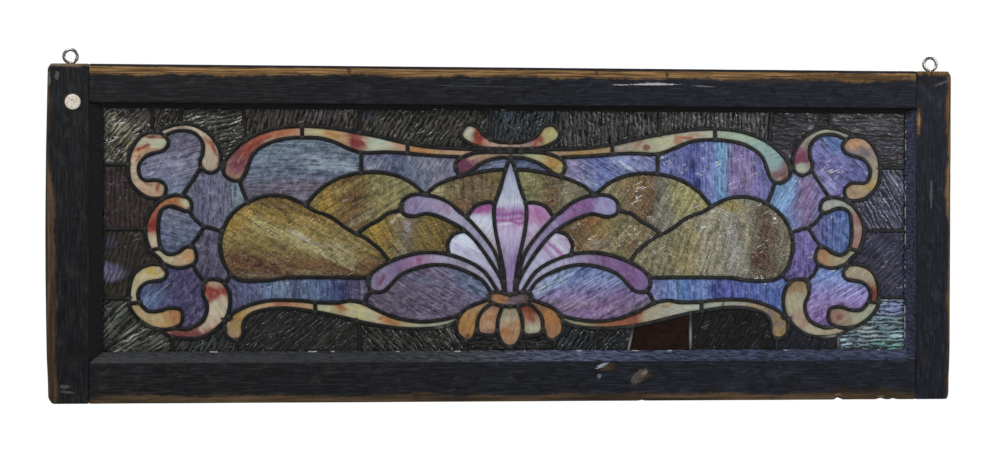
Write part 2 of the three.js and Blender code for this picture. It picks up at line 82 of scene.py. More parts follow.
CLOSED_LEADS = {
    "upper_curl": [
        (-448, 121.5), (-460, 133), (-480, 130.5), (-497, 107.5), (-499, 77.5), (-494, 63.5),
        (-475, 48), (-455, 48.5), (-451, 61), (-455, 67), (-462, 70.5), (-478, 70.5),
        (-484, 75), (-486, 89.5), (-476, 102.5), (-457, 109), (-451, 113),
    ],
    "middle_hook": [
        (-436, 51), (-421, 46), (-418, 34), (-424, 30), (-444, 36.5), (-457, 31),
        (-458, -17), (-448, -26.5), (-434, -23.5), (-428, -18.5), (-421, -16), (-415, -18),
        (-411.5, -32), (-415, -38.5), (-432, -44.5), (-453, -39.5), (-460, -32),
        (-471, -20.5), (-478, 6.5), (-473, 25.5), (-456, 45),
    ],
    "lower_curl": [
        (-450, -50.5), (-454, -43.5), (-460, -40), (-477, -41.5), (-493, -54), (-497, -96.5),
        (-474, -120.5), (-451, -125.5), (-432, -118.5), (-430, -103.5), (-434, -98.5),
        (-449, -97.5), (-457, -100.5), (-474, -101), (-485, -89), (-487, -80.5),
        (-485, -72.5), (-480, -66.5), (-473, -63), (-456, -60), (-451, -56),
    ],
}

OPEN_LEADS = {
    "upper_arc": [
        (-462, 134.5), (-451, 140), (-424, 145), (-397, 133), (-381.5, 109.5), (-381.5, 88.5),
        (-387, 82.5), (-394, 80.5), (-401, 83), (-406, 89), (-407, 96.5), (-404, 104.5),
        (-404, 120.5), (-416, 133.5), (-437, 135.5), (-452, 129.5),
    ],
    "lower_arc_outside": [
        (-403, -71.5), (-402, -65), (-397, -60.5), (-381, -61), (-371, -72.5), (-368, -90.5),
        (-374, -112), (-403, -135.5), (-445, -134.5), (-460, -125),
    ],
    "lower_arc_inside": [
        (-402, -66), (-403, -78.5), (-397.5, -94), (-401, -110.5), (-407, -117.5),
        (-425, -125), (-440, -123.5),
    ],
    "oval_top": [
        (-381, -11.5), (-379, 0.5), (-368, 23.5), (-347, 41), (-319, 51), (-292, 48.5),
        (-269, 37.5), (-258, 30.5), (-245, 26.5), (-233, 20.5), (-220, 10.5), (-207, 2.5),
        (-194, -3.5), (-171, -21.5), (-159, -37),
    ],
    "oval_bottom": [
        (-187, -57.5), (-299, -58), (-317, -61), (-360, -58.5), (-376, -38.5), (-381, -11.5),
        (-380, -4),
    ],
    "upper_scroll_top": [
        (-377, 87.5), (-375, 95.5), (-369, 104.5), (-349, 123), (-321, 136), (-287, 142),
        (-247, 141.5), (-187, 132), (-117, 117.5), (-29, 112.5),
    ],
    "upper_scroll_bottom": [
        (-377, 90), (-376, 79.5), (-370, 73), (-362, 70), (-354, 72), (-349, 78.5),
        (-338, 105.5), (-319, 119.5), (-292, 126.5), (-246, 126), (-206, 110.5), (-195, 108),
        (-159, 109), (-107, 105), (-68, 103),
    ],
    "dome_top": [
        (-270, 38), (-253, 57.5), (-229, 73), (-197, 81.5), (-164, 81), (-136, 71.5), (-113, 53.5),
    ],
    "dome_divider": [(-202, 0.5), (-188, 11.5), (-174, 19), (-162, 28), (-145, 32)],
    "inner_dome_top": [(-111, 54), (-99, 64.5), (-73, 75.5), (-27, 85.5), (-6, 86.5)],
    "smile_top": [(-66, 137), (-57, 146), (-45, 144), (-34, 131.5), (-17, 123.5), (1, 122.5)],
    "smile_bottom": [(-65, 139), (-66, 134), (-63, 127), (-41, 116), (1, 114)],
    "frown_top": [(-73, 88.5), (-72, 95.5), (-67, 101), (-47, 108.5), (1, 110)],
    "frown_bottom": [
        (-73, 91), (-71, 83.5), (-67, 79.5), (-61, 80), (-39, 94.5), (-17, 102), (1, 102.5),
    ],
    "spear": [
        (0, 103), (-5, 90.5), (-14, 59.5), (-21, 38.5), (-21, 15.5), (-8.5, -49.5), (-6, -78),
    ],
    "small_petal": [(-57, 24), (-47, 37.5), (-30, 43), (-21, 41.5)],
    "upper_plume_top": [
        (-144.5, 36), (-142.5, 44.5), (-130, 52.5), (-100.5, 50.5), (-81, 42), (-66.5, 29.5),
        (-59, 24), (-21, -22.5), (-9, -62),
    ],
    "upper_plume_bottom": [
        (-144.5, 39), (-144, 32), (-140, 26.5), (-127, 24), (-117.5, 26.5), (-108, 27.5),
        (-74, 14), (-49, -5.5), (-11, -62.5), (-8, -78),
    ],
    "lower_petal": [(-61, 5), (-76, -1), (-83, -13.5), (-81, -26)],
    "lower_plume_top": [
        (-188, -66), (-187, -58.5), (-183, -52), (-165, -39), (-123, -25), (-91, -25),
        (-61, -33.5), (-35, -49), (-16, -76),
    ],
    "lower_plume_bottom": [
        (-188, -63), (-186, -71.5), (-181, -76), (-168, -75.5), (-147, -55.5), (-136, -49),
        (-107, -41), (-79, -42), (-39, -59.5), (-24, -78),
    ],
    "lobe_end": [(-184, -77), (-189, -82.5), (-192, -91)],
    "lower_scroll_top": [
        (-375, -126), (-374, -115.5), (-360, -101.5), (-323, -88.5), (-273, -88),
        (-257, -90), (-227, -90.5), (-212, -88), (-192, -92), (-179, -99), (-151, -110.5),
        (-117, -116), (-83, -112), (-66, -107),
    ],
    "lower_scroll_bottom": [
        (-375, -122), (-374, -131.5), (-369, -137.5), (-361, -140), (-354, -137),
        (-351, -130.5), (-351, -121.5), (-349, -114), (-343, -107), (-333, -102),
        (-303, -97.5), (-249, -104), (-167, -122), (-124, -125.5), (-85, -122), (-70, -115.5),
    ],
    "knot_top": [(-28, -85), (-28, -80), (-20, -76), (1, -80.5)],
    "knot_bottom": [(-29, -81), (-27, -88.5), (-12, -95), (1, -96)],
    "outer_drop": [
        (-27, -86), (-60, -100), (-71, -116.5), (-69, -132.5), (-56, -141), (-49, -137.5),
        (-44, -127),
    ],
    "drop_divider": [(-22, -91), (-32, -97), (-42, -110.5), (-44, -128.5)],
    "inner_drop_bottom": [(-44, -127.5), (-39, -132.5), (-22, -134), (-16, -129)],
    "centre_drop_side": [
        (-10, -95), (-16, -113.5), (-16, -131.5), (-8, -147), (1, -150.5),
    ],
}

# Short leads over glass that is drawn as one pane on both sides of them.
GROUND_LEADS = [
    [(-406, 87), (-416, 71.5), (-430, 51)],
    [(-420, 29), (-415, 21), (-402, 10), (-394, 8), (-380, 4)],
    [(-402, 10), (-406, 2.5), (-419, -16)],
    [(-416, -40), (-409, -53.5), (-401, -62)],
    [(-376, -65), (-366, -53)],
    [(-356, 70.5), (-351, 55.5), (-345, 42)],
    [(-197, 81), (-197, 109)],
    [(-474, -22), (-456, -18)],
    [(-501, -91.5), (-484, -90)],
    [(-274.5, 126), (-274.5, 143)],
    [(-136, 107), (-136, 121)],
    [(-257, -89), (-257, -103)],
]

# Straight and nearly straight leads that divide the border.
BORDER_LEADS = [
    [(-545, 91), (-497, 91)],
    [(-545, 6), (-477, 6)],
    [(-545, -84.5), (-496, -84.5)],
    [(-431, 145), (-431, 172)],
    [(-348, 123), (-351, 172)],
    [(-199, 134), (-199, 172)],
    [(-443, -135), (-443, -166)],
    [(-359, -140), (-359, -166)],
    [(-59, -141), (-59, -166)],
]
BORDER_LEADS_LEFT = [
    [(-469, 132), (-469, 172)],
    [(-27, 126), (-27, 172)],
    [(-202, -114), (-199, -125), (-198, -166)],
    [(-87, -122), (-80, -130.5), (-74, -143.5), (-66, -166)],
    [(-483, -117), (-545, -162)],
]
BORDER_LEADS_RIGHT = [
    [(-61, 143), (-61, 172)],
    [(-117, -125), (-112, -166)],
    [(-165, -122), (-156, -166)],
    [(-242, -104), (-242, -166)],
]

# Places where two curved leads run into each other and are soldered together.
WELDS = [
    [(-456, 44), (-455, 49.5)],
    [(-453, -38.5), (-454, -45)],
    [(-383, 92), (-375, 92)],
    [(-378, -112), (-366, -112)],
    [(-14, 109), (-14, 115.5)],
    [(-67, 81), (-67, 74.5)],
]

# ------------------------------------------------------------------ small tools

def lattice_noise(x, z, seed):
    """Smooth value noise from -1 to 1 with a cell of one unit."""
    x, z = np.asarray(x, float), np.asarray(z, float)
    xi, zi = np.floor(x), np.floor(z)
    fx, fz = x - xi, z - zi
    fx, fz = fx * fx * (3 - 2 * fx), fz * fz * (3 - 2 * fz)

    def corner(i, j):
        v = np.sin(i * 127.1 + j * 311.7 + seed * 74.7) * 43758.5453
        return (v - np.floor(v)) * 2 - 1

    low = corner(xi, zi) * (1 - fx) + corner(xi + 1, zi) * fx
    high = corner(xi, zi + 1) * (1 - fx) + corner(xi + 1, zi + 1) * fx
    return low * (1 - fz) + high * fz


def cloud(x, z, size, seed, octaves=3):
    """Several sizes of noise added together; size is the largest cell."""
    total, weight = 0.0, 0.0
    for k in range(octaves):
        step = size / 2 ** k
        total = total + lattice_noise(x / step, z / step, seed + 13 * k) * 0.6 ** k
        weight += 0.6 ** k
    return total / weight


def smooth(a, b, v):
    """0 below a, 1 above b and an even rise between them."""
    t = np.clip((v - a) / (b - a), 0, 1)
    return t * t * (3 - 2 * t)


def in_patch(x, z, patch):
    """Distance from a patch's middle, 1 at its edge; patch is x, z, long, wide, degrees."""
    px, pz, long, wide, degrees = patch
    c, s = math.cos(math.radians(degrees)), math.sin(math.radians(degrees))
    u, v = x - AXIS_X - px, z - pz
    return np.hypot((u * c + v * s) / long, (v * c - u * s) / wide)


def spline(points, closed, step):
    """Centripetal Catmull-Rom curve through the points, sampled about every step."""
    pts = np.array(points, float)
    n = len(pts)
    if n == 2:
        count = max(2, int(np.linalg.norm(pts[1] - pts[0]) / step))
        t = np.linspace(0, 1, count + 1)[:, None]
        return pts[0] * (1 - t) + pts[1] * t
    out = []
    for i in range(n if closed else n - 1):
        p1, p2 = pts[i], pts[(i + 1) % n]
        p0 = pts[i - 1] if closed or i > 0 else 2 * p1 - p2
        p3 = pts[(i + 2) % n] if closed or i + 2 < n else 2 * p2 - p1
        k = np.cumsum([0] + [max(np.linalg.norm(b - a), 1e-6) ** 0.5
                             for a, b in ((p0, p1), (p1, p2), (p2, p3))])
        count = max(2, int(np.linalg.norm(p2 - p1) / step))
        t = np.linspace(k[1], k[2], count, endpoint=False)[:, None]

        def blend(a, b, from_knot, to_knot):
            return ((k[to_knot] - t) * a + (t - k[from_knot]) * b) / (k[to_knot] - k[from_knot])

        a1, a2, a3 = blend(p0, p1, 0, 1), blend(p1, p2, 1, 2), blend(p2, p3, 2, 3)
        out.append(blend(blend(a1, a2, 0, 2), blend(a2, a3, 1, 3), 1, 2))
    if not closed:
        out.append(pts[-1:])
    return np.concatenate(out)


def tube_faces(rows, m, base=0, closed=False):
    """Quads between rings of m points; both ends are capped unless the tube is a loop."""
    faces = []
    for i in range(rows if closed else rows - 1):
        here, there = base + i * m, base + (i + 1) % rows * m
        for k in range(m):
            after = (k + 1) % m
            faces.append((here + k, here + after, there + after, there + k))
    if not closed:
        faces.append(tuple(base + k for k in reversed(range(m))))
        faces.append(tuple(base + (rows - 1) * m + k for k in range(m)))
    return faces


def turned_over(faces):
    return [face[::-1] for face in faces]


def make_object(name, verts, faces, material, colours=None, fields=None):
    """Mesh from window millimetres; colours is one linear RGB a vertex, fields are floats."""
    verts = np.asarray(verts, float) * MM
    verts[:, 2] -= EYE_Z * MM
    mesh = bpy.data.meshes.new(name)
    mesh.from_pydata(verts.tolist(), [], faces)
    mesh.validate()
    mesh.materials.append(material)
    mesh.polygons.foreach_set("use_smooth", [True] * len(mesh.polygons))
    mesh.set_sharp_from_angle(angle=math.radians(42))
    if colours is not None:
        layer = mesh.color_attributes.new("tint", "FLOAT_COLOR", "POINT")
        rgba = np.concatenate([colours, np.ones((len(colours), 1))], 1)
        layer.data.foreach_set("color", rgba.astype(np.float32).ravel())
    for key, values in (fields or {}).items():
        layer = mesh.attributes.new(key, "FLOAT", "POINT")
        layer.data.foreach_set("value", np.asarray(values, np.float32))
    mesh.update()
    obj = bpy.data.objects.new(name, mesh)
    bpy.context.scene.collection.objects.link(obj)
    return obj


def place(obj, node):
    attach(obj, "root")
    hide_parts(node)


class Shell:
    """Points, faces and per-point fields of one piece while it is built up."""

    def __init__(self):
        self.verts, self.faces, self.fields = [], [], {}

    def point(self, x, y, z, **fields):
        self.verts.append((x, y, z))
        for key, value in fields.items():
            self.fields.setdefault(key, []).append(value)

    def build(self, name, material, slot_name, node):
        obj = make_object(name, self.verts, self.faces, material, None, self.fields)
        place(obj, node)


# ------------------------------------------------------------------ lead lines

def clip_to_rim(line):
    """The points of a border lead that lie on the panel."""
    over = 2.5
    keep = (line[:, 0] > RIM_X[0] - over) & (line[:, 0] < RIM_X[1] + over)
    keep &= (line[:, 1] > RIM_Z[0] - over) & (line[:, 1] < RIM_Z[1] + over)
    return line[keep]


def lead_lines():
    """Centre lines of all the leads as dicts of line and closed; the rim comes last."""
    lines = []
    for side in (-1, 1):
        own_border = BORDER_LEADS_LEFT if side < 0 else BORDER_LEADS_RIGHT
        groups = ((CLOSED_LEADS.values(), True, False), (OPEN_LEADS.values(), False, False),
                  (GROUND_LEADS + WELDS, False, False), (BORDER_LEADS + own_border, False, True))
        for curves, closed, clipped in groups:
            for points in curves:
                placed = [(AXIS_X - side * PATTERN_STRETCH * u, v) for u, v in points]
                line = spline(placed, closed, LEAD_STEP)
                lines.append({"line": clip_to_rim(line) if clipped else line, "closed": closed})
    corners = [(RIM_X[0], RIM_Z[0]), (RIM_X[1], RIM_Z[0]), (RIM_X[1], RIM_Z[1]), (RIM_X[0], RIM_Z[1])]
    rim = [spline([corners[i], corners[(i + 1) % 4]], False, 4.0)[:-1] for i in range(4)]
    lines.append({"line": np.concatenate(rim), "closed": True})
    return lines


def solder_ends(lines):
    """Carries each free end on to the nearest other lead and returns the soldered places."""
    reach_limit = 9
    tree = kdtree.KDTree(sum(len(item["line"]) for item in lines))
    owner = []
    for index, item in enumerate(lines):
        for x, z in item["line"]:
            tree.insert((x, z, 0), len(owner))
            owner.append(index)
    tree.balance()
    joints = []
    for index, item in enumerate(lines):
        for end in () if item["closed"] else (0, -1):
            tip = item["line"][end]
            for spot, found, distance in tree.find_n((tip[0], tip[1], 0), 60):
                if owner[found] != index and distance < reach_limit:
                    reach = np.array([spot[0], spot[1]])
                    over = reach + (reach - tip) * 0.2
                    added = [over, reach, item["line"]] if end == 0 else [item["line"], reach, over]
                    item["line"] = np.vstack(added)
                    joints.append((spot[0], spot[1]))
                    break
    return joints


# ------------------------------------------------------------------ the panel cut up by the leads

def mesh_panel(lines):
    """Points and triangles of the panel with the leads as edges, each point's distance from a
    lead, and for each triangle the number of the region between leads that it lies in."""
    points, edges = [], []
    for item in lines:
        base, n = len(points), len(item["line"])
        points += [Vector((float(x), float(z))) for x, z in item["line"]]
        edges += [(base + i, base + i + 1) for i in range(n - 1)]
        if item["closed"]:
            edges.append((base + n - 1, base))
    near = kdtree.KDTree(len(points))
    for i, p in enumerate(points):
        near.insert((p.x, p.y, 0), i)
    near.balance()
    # Rows of even triangles stand this part of a step apart.
    row_ratio, edge_clear = 0.866, 1.2
    for r in range(1, int((RIM_Z[1] - RIM_Z[0]) / (GLASS_STEP * row_ratio))):
        z = RIM_Z[0] + r * GLASS_STEP * row_ratio
        for c in range(int((RIM_X[1] - RIM_X[0]) / GLASS_STEP)):
            x = RIM_X[0] + edge_clear + (c + 0.5 * (r % 2)) * GLASS_STEP
            inside = x <= RIM_X[1] - edge_clear and z <= RIM_Z[1] - edge_clear
            if inside and near.find((x, z, 0))[2] > 1.5:
                points.append(Vector((x, z)))

    verts, edges, faces, _, origins, _ = delaunay_2d_cdt(points, edges, [], 0, 1e-4, True)
    flat = np.array([(v.x, v.y) for v in verts])
    away = np.array([near.find((x, z, 0))[2] for x, z in flat])
    walls = {tuple(sorted(e)) for e, origin in zip(edges, origins) if origin}
    beside = {}
    for t, tri in enumerate(faces):
        for i in range(3):
            beside.setdefault(tuple(sorted((tri[i], tri[(i + 1) % 3]))), []).append(t)
    neighbours = [[] for _ in faces]
    for edge, pair in beside.items():
        if len(pair) == 2 and edge not in walls:
            neighbours[pair[0]].append(pair[1])
            neighbours[pair[1]].append(pair[0])
    region, count = [-1] * len(faces), 0
    for t in range(len(faces)):
        if region[t] < 0:
            stack, region[t] = [t], count
            while stack:
                for n in neighbours[stack.pop()]:
                    if region[n] < 0:
                        region[n] = count
                        stack.append(n)
            count += 1
    return flat, np.array(faces), away, np.array(region)


lines = lead_lines()
joints = solder_ends(lines)
flat, tris, away, region = mesh_panel(lines)
tri_centres = flat[tris].mean(1)


def region_at(x, z):
    return region[int(np.argmin(((tri_centres - (x, z)) ** 2).sum(1)))]


# ------------------------------------------------------------------ materials

def srgb(text):
    """Linear RGB of a hex colour."""
    v = np.array([int(text[i:i + 2], 16) for i in (0, 2, 4)]) / 255
    return np.where(v <= 0.04045, v / 12.92, ((v + 0.055) / 1.055) ** 2.4)


class Nodes:
    """Builds a material's node tree; every value passed in may be a number or an output."""

    def __init__(self, name):
        self.material = bpy.data.materials.new(name)
        self.material.use_nodes = True
        self.tree = self.material.node_tree
        self.shader = self.tree.nodes["Principled BSDF"]
        self.coords = self.add("ShaderNodeTexCoord").outputs["Object"]

    def add(self, kind, values=(), **settings):
        """A node with its settings; values are plugged into its inputs by name or number."""
        node = self.tree.nodes.new(kind)
        for key, value in settings.items():
            setattr(node, key, value)
        for key, value in dict(values).items():
            self.plug(node.inputs[key], value)
        return node

    def plug(self, socket, value):
        if isinstance(value, bpy.types.NodeSocket):
            self.tree.links.new(value, socket)
        elif isinstance(value, str):
            socket.default_value = (*srgb(value), 1.0)
        elif value is not None:
            socket.default_value = value

    def set(self, **inputs):
        """Sets the shader's inputs and returns the material."""
        for key, value in inputs.items():
            self.plug(self.shader.inputs[key.replace("_", " ")], value)
        return self.material

    def math(self, op, *terms):
        return self.add("ShaderNodeMath", enumerate(terms), operation=op).outputs[0]

    def field(self, name, output="Fac"):
        return self.add("ShaderNodeAttribute", attribute_name=name).outputs[output]

    def axis(self, which):
        return self.add("ShaderNodeSeparateXYZ", {0: self.coords}).outputs[which]

    def grain(self, degrees, long, across, deep=None, at=(0, 0, 0)):
        """Coordinates stretched along a direction in the window's plane; sizes in mm."""
        return self.add("ShaderNodeMapping", {
            "Vector": self.coords, "Location": at, "Rotation": (0, -math.radians(degrees), 0),
            "Scale": (long * MM, (deep or across) * MM, across * MM),
        }, vector_type="TEXTURE").outputs[0]

    def noise(self, vector, detail=3.0, rough=0.5, distortion=0.0):
        return self.add("ShaderNodeTexNoise", {
            "Vector": vector, "Scale": 1.0, "Detail": detail, "Roughness": rough,
            "Distortion": distortion}).outputs["Fac"]

    def ripples(self, degrees, period, distortion):
        """Wavering parallel ridges running along a direction; period in mm."""
        across = period * 20 / (2 * math.pi)
        return self.add("ShaderNodeTexWave", {
            "Vector": self.grain(degrees, across * 2.6, across), "Scale": 1.0,
            "Distortion": distortion, "Detail": 2.0, "Detail Scale": 2.6,
            "Detail Roughness": 0.6}, bands_direction="Z").outputs["Fac"]

    def remap(self, value, low, high, out_low=0.0, out_high=1.0):
        values = enumerate((value, low, high, out_low, out_high))
        return self.add("ShaderNodeMapRange", values,
                        interpolation_type="SMOOTHSTEP").outputs["Result"]

    def mix(self, factor, a, b, blend="MIX"):
        return self.add("ShaderNodeMix", {0: factor, 6: a, 7: b}, data_type="RGBA",
                        blend_type=blend).outputs[2]

    def bump(self, height, strength, distance):
        return self.add("ShaderNodeBump", {
            "Height": height, "Strength": strength, "Distance": distance * MM}).outputs[0]

    def spot(self, x, z, long, across, degrees=0.0, ragged=0.9):
        """1 inside a ragged patch on the front, 0 outside it; sizes in mm."""
        spread = self.grain(degrees, long, across, 1e5, (x * MM, 0, (z - EYE_Z) * MM))
        length = self.add("ShaderNodeVectorMath", {0: spread}, operation="LENGTH")
        rag = self.noise(self.grain(degrees, across * 0.9 + 2, across * 0.5 + 0.6), 4, 0.65)
        edge = self.math("MULTIPLY_ADD", self.math("SUBTRACT", rag, 0.5), ragged * 3,
                         length.outputs["Value"])
        near_face = self.remap(self.axis("Y"), (FRONT + 4) * MM, (FRONT + 6) * MM, 1.0, 0.0)
        return self.math("MULTIPLY", self.remap(edge, 0.75, 1.05, 1.0, 0.0), near_face)


def add_glints(n, colour):
    """Thin broken white lines of reflected light, as strong as the pane's glint field."""
    line = n.noise(n.grain(24, 12, 1.8), 1.5, 0.5, 0.6)
    other = n.noise(n.grain(-58, 8, 1.5, at=(0.3, 0, 0.1)), 1.5, 0.5, 0.4)
    patches = n.noise(n.grain(30, 26, 13), 3, 0.6)
    mark = n.math("MAXIMUM", n.remap(line, 0.62, 0.66), n.remap(other, 0.68, 0.72))
    mark = n.math("MULTIPLY", mark, n.remap(patches, 0.55, 0.6))
    return n.mix(n.math("MULTIPLY", mark, n.field("glint")), colour, "e8e6e0")


def smooth_glass(n, tint, turn):
    """Dark flat glass, only a little wavy."""
    swirl = n.noise(n.grain(turn, 22, 12), 4, 0.6, 1.0)
    colour = n.mix(1.0, tint, n.remap(swirl, 0.3, 0.7, 0.6, 1.5), "MULTIPLY")
    return n.set(Base_Color=colour, Roughness=0.12, Specular_IOR_Level=0.5, Coat_Weight=0.15,
                 Coat_Roughness=0.05, Normal=n.bump(swirl, 0.4, 1.2))


def rippled_glass(n, tint, turn, shade_range, ridge_light, relief):
    """Dark glass with long ripples, with painted shade in their hollows and painted highlights where the
    crests catch the light in patches.
    """
    ripple = n.math("MULTIPLY_ADD", n.ripples(turn, 6.2, 6.5), 0.3,
                    n.math("MULTIPLY", n.noise(n.grain(turn, 17, 4.4), 2, 0.5, 1.3), 0.7))
    cells = n.noise(n.grain(turn + 70, 9, 3.4), 2, 0.5, 0.6)
    patches = n.noise(n.grain(turn, 30, 22), 3, 0.6)
    height = n.math("MULTIPLY_ADD", cells, 0.4, ripple)
    # Painted shade in the ripples' hollows, then painted highlights on their crests.
    colour = n.mix(1.0, tint, n.remap(height, 0.56, 0.84, *shade_range), "MULTIPLY")
    ridge_highlight = n.math("MULTIPLY", n.remap(ripple, 0.58, 0.68), n.remap(patches, 0.45, 0.62))
    colour = n.mix(1.0, colour, n.math("MULTIPLY_ADD", ridge_highlight, ridge_light, 1.0), "MULTIPLY")
    return n.set(Base_Color=add_glints(n, colour), Roughness=0.16, Specular_IOR_Level=0.5,
                 Coat_Weight=0.15, Coat_Roughness=0.06, Normal=n.bump(height, relief, 1.8))


# Streak length and width, mottle size, contrast, shade of the hollows and crests of the
# relief, its strength and depth, and the second colour.
OPAL = {
    "ground": (30, 2.6, 6.0, 0.72, (0.87, 1.12), (0.5, 1.0), "b9a6c0"),
    "amber": (34, 4.0, 6.0, 0.62, (0.66, 1.24), (0.9, 1.5), "6d4c1c"),
    "scroll": (26, 2.6, 5.0, 0.22, (0.97, 1.03), (0.35, 0.8), "e6b98c"),
    "plume": (30, 2.0, 5.0, 0.26, (0.97, 1.03), (0.35, 0.8), "d3a8cf"),
    "drop": (16, 3.0, 5.0, 0.3, (0.97, 1.03), (0.35, 0.8), "c87f4a"),
}


def opal_glass(n, tint, turn, kind):
    """Streaky opalescent glass with a pebbled face, painted darker in the hollows of the pebbles; ground
    and amber glass also get painted highlights on their crests.
    """
    long, width, cell, contrast, hollow_shade, (strength, deep), second = OPAL[kind]
    streak = n.noise(n.grain(turn, long, width), 5, 0.62, 0.6)
    mottle = n.noise(n.grain(turn + 25, cell * 1.7, cell), 4, 0.65, 0.5)
    pebble = n.noise(n.grain(turn + 90, cell * 1.15, cell * 0.52), 2.5, 0.5, 1.2)
    if kind == "amber":
        pebble = n.math("MULTIPLY_ADD", n.ripples(turn + 62, 5.2, 14.0), 0.15,
                        n.math("MULTIPLY", pebble, 0.85))
    blend = n.math("MULTIPLY_ADD", mottle, 0.6, n.math("MULTIPLY", streak, 0.9))
    colour = n.mix(1.0, tint, n.remap(blend, 0.5, 1.0, 1 - contrast, 1 + contrast), "MULTIPLY")
    colour = n.mix(n.remap(mottle, 0.52, 0.75, 0.0, 0.35), colour, second)
    # Painted shade in the hollows of the pebbled face, lighter on its crests.
    colour = n.mix(1.0, colour, n.remap(pebble, 0.32, 0.68, *hollow_shade), "MULTIPLY")
    if kind in ("ground", "amber"):
        patches = n.noise(n.grain(turn, 34, 26), 3, 0.6)
        # Painted highlights on the crests of the pebbles, in patches.
        ridge_highlight = n.math("MULTIPLY", n.remap(pebble, 0.6, 0.72), n.remap(patches, 0.45, 0.62))
        colour = add_glints(n, n.mix(n.math("MULTIPLY", ridge_highlight, 0.2), colour, "cfccc0"))
    height = n.math("MULTIPLY_ADD", streak, 0.35, pebble)
    return n.set(Base_Color=colour, Roughness=0.2, Specular_IOR_Level=0.5, Coat_Weight=0.3,
                 Coat_Roughness=0.07, Normal=n.bump(height, strength, deep))


glass_cache = {}


def glass_material(kind, degrees):
    """Glass of a kind with its grain turned to the nearest 15 degrees."""
    turn = int(round(degrees / 15.0)) * 15
    if (kind, turn) not in glass_cache:
        n = Nodes(f"glass_{kind}_{turn}".replace("-", "m"))
        tint = n.field("tint", "Color")
        if kind == "smooth":
            made = smooth_glass(n, tint, turn)
        elif kind == "border":
            made = rippled_glass(n, tint, turn, (0.2, 1.75), 1.5, 1.0)
        elif kind == "still":
            made = rippled_glass(n, tint, turn, (0.6, 1.3), 0.35, 0.7)
        else:
            made = opal_glass(n, tint, turn, kind)
        glass_cache[kind, turn] = made
    return glass_cache[kind, turn]


def lead_material():
    """Near-black lead with a greyer crown, partly wear and partly a painted highlight, pale where light
    says so.
    """
    n = Nodes("lead_came")
    crown = n.field("crown")
    wear = n.noise(n.grain(0, 5, 5), 5, 0.65)
    fine = n.noise(n.grain(0, 0.9, 0.9), 3, 0.6)
    # The crown is painted greyer, partly for wear and partly as a painted highlight along it.
    bright = n.math("MULTIPLY", crown, n.remap(wear, 0.35, 0.7, 0.25, 1.0))
    across = n.remap(n.axis("X"), -0.3, 0.25)
    colour = n.mix(bright, "08080a", n.mix(across, "303030", "464644"))
    colour = n.mix(n.math("MULTIPLY", crown, n.field("light")), colour, "a39f94")
    colour = n.mix(n.remap(fine, 0.55, 0.8, 0.0, 0.35), colour, "2a2620")
    return n.set(Base_Color=colour, Metallic=0.15, Roughness=n.remap(wear, 0.3, 0.7, 0.42, 0.62),
                 Specular_IOR_Level=0.22,
                 Normal=n.bump(n.math("ADD", wear, n.math("MULTIPLY", fine, 0.3)), 0.5, 0.7))


def wood_material(name, degrees, spots):
    """Worn near-black paint over brown softwood; bare is in mm, above 0 where paint is gone."""
    n = Nodes(name)
    fibre = n.noise(n.grain(degrees, 60, 0.9, 0.9), 6, 0.62, 0.2)
    rings = n.noise(n.grain(degrees, 150, 5, 5), 4, 0.6, 0.8)
    dirt = n.noise(n.grain(degrees, 14, 8, 8), 5, 0.65)
    wood = n.mix(n.remap(rings, 0.35, 0.65), "3a2f24", "6d5840")
    wood = n.mix(n.remap(fibre, 0.4, 0.7, 0.0, 0.75), wood, "2f1d10")
    wood = n.mix(n.remap(dirt, 0.5, 0.8, 0.0, 0.7), wood, "221a14")
    wood = n.mix(n.field("pale"), wood, n.mix(n.remap(fibre, 0.36, 0.62), "c89c64", "4e3520"))
    scuff = n.noise(n.grain(degrees, 36, 2.2, 2.2), 8, 0.74)
    nick = n.noise(n.grain(degrees + 20, 2.6, 1.0, 1.0), 3, 0.6)
    across = n.remap(n.axis("X"), -0.35, 0.3)
    paint = n.mix(n.remap(scuff, 0.46, 0.64, 0.0, 0.6), n.mix(across, "101114", "15171f"),
                  n.mix(across, "3a3b3f", "3b3e4e"))
    paint = n.mix(n.remap(dirt, 0.5, 0.7, 0.0, 0.8), paint, "060608")
    blot = n.noise(n.grain(degrees + 15, 22, 12, 12), 5, 0.7, 0.4)
    paint = n.mix(n.remap(blot, 0.54, 0.7, 0.0, 0.5), paint, n.mix(across, "3a3935", "3f4152"))
    paint = n.mix(n.math("MULTIPLY", n.remap(nick, 0.7, 0.76), 0.5), paint, "6a6a6c")
    edge = n.math("MULTIPLY_ADD", n.math("SUBTRACT", dirt, 0.5), 12.0, n.field("bare"))
    edge = n.math("MULTIPLY_ADD", n.math("SUBTRACT", fibre, 0.5), 11.0, edge)
    bare = n.remap(edge, -2.4, 2.4)
    colour = n.mix(bare, paint, wood)
    for x, z, long, wide, turn, tone, amount in spots:
        colour = n.mix(n.math("MULTIPLY", n.spot(x, z, long, wide, turn), amount), colour, tone)
    rough = n.math("MULTIPLY_ADD", bare, 0.3, n.remap(scuff, 0.3, 0.8, 0.5, 0.7))
    height = n.math("MULTIPLY_ADD", bare, -0.5, n.math("MULTIPLY", fibre, 0.7))
    return n.set(Base_Color=colour, Roughness=rough, Specular_IOR_Level=0.22,
                 Normal=n.bump(height, 0.9, 0.8))


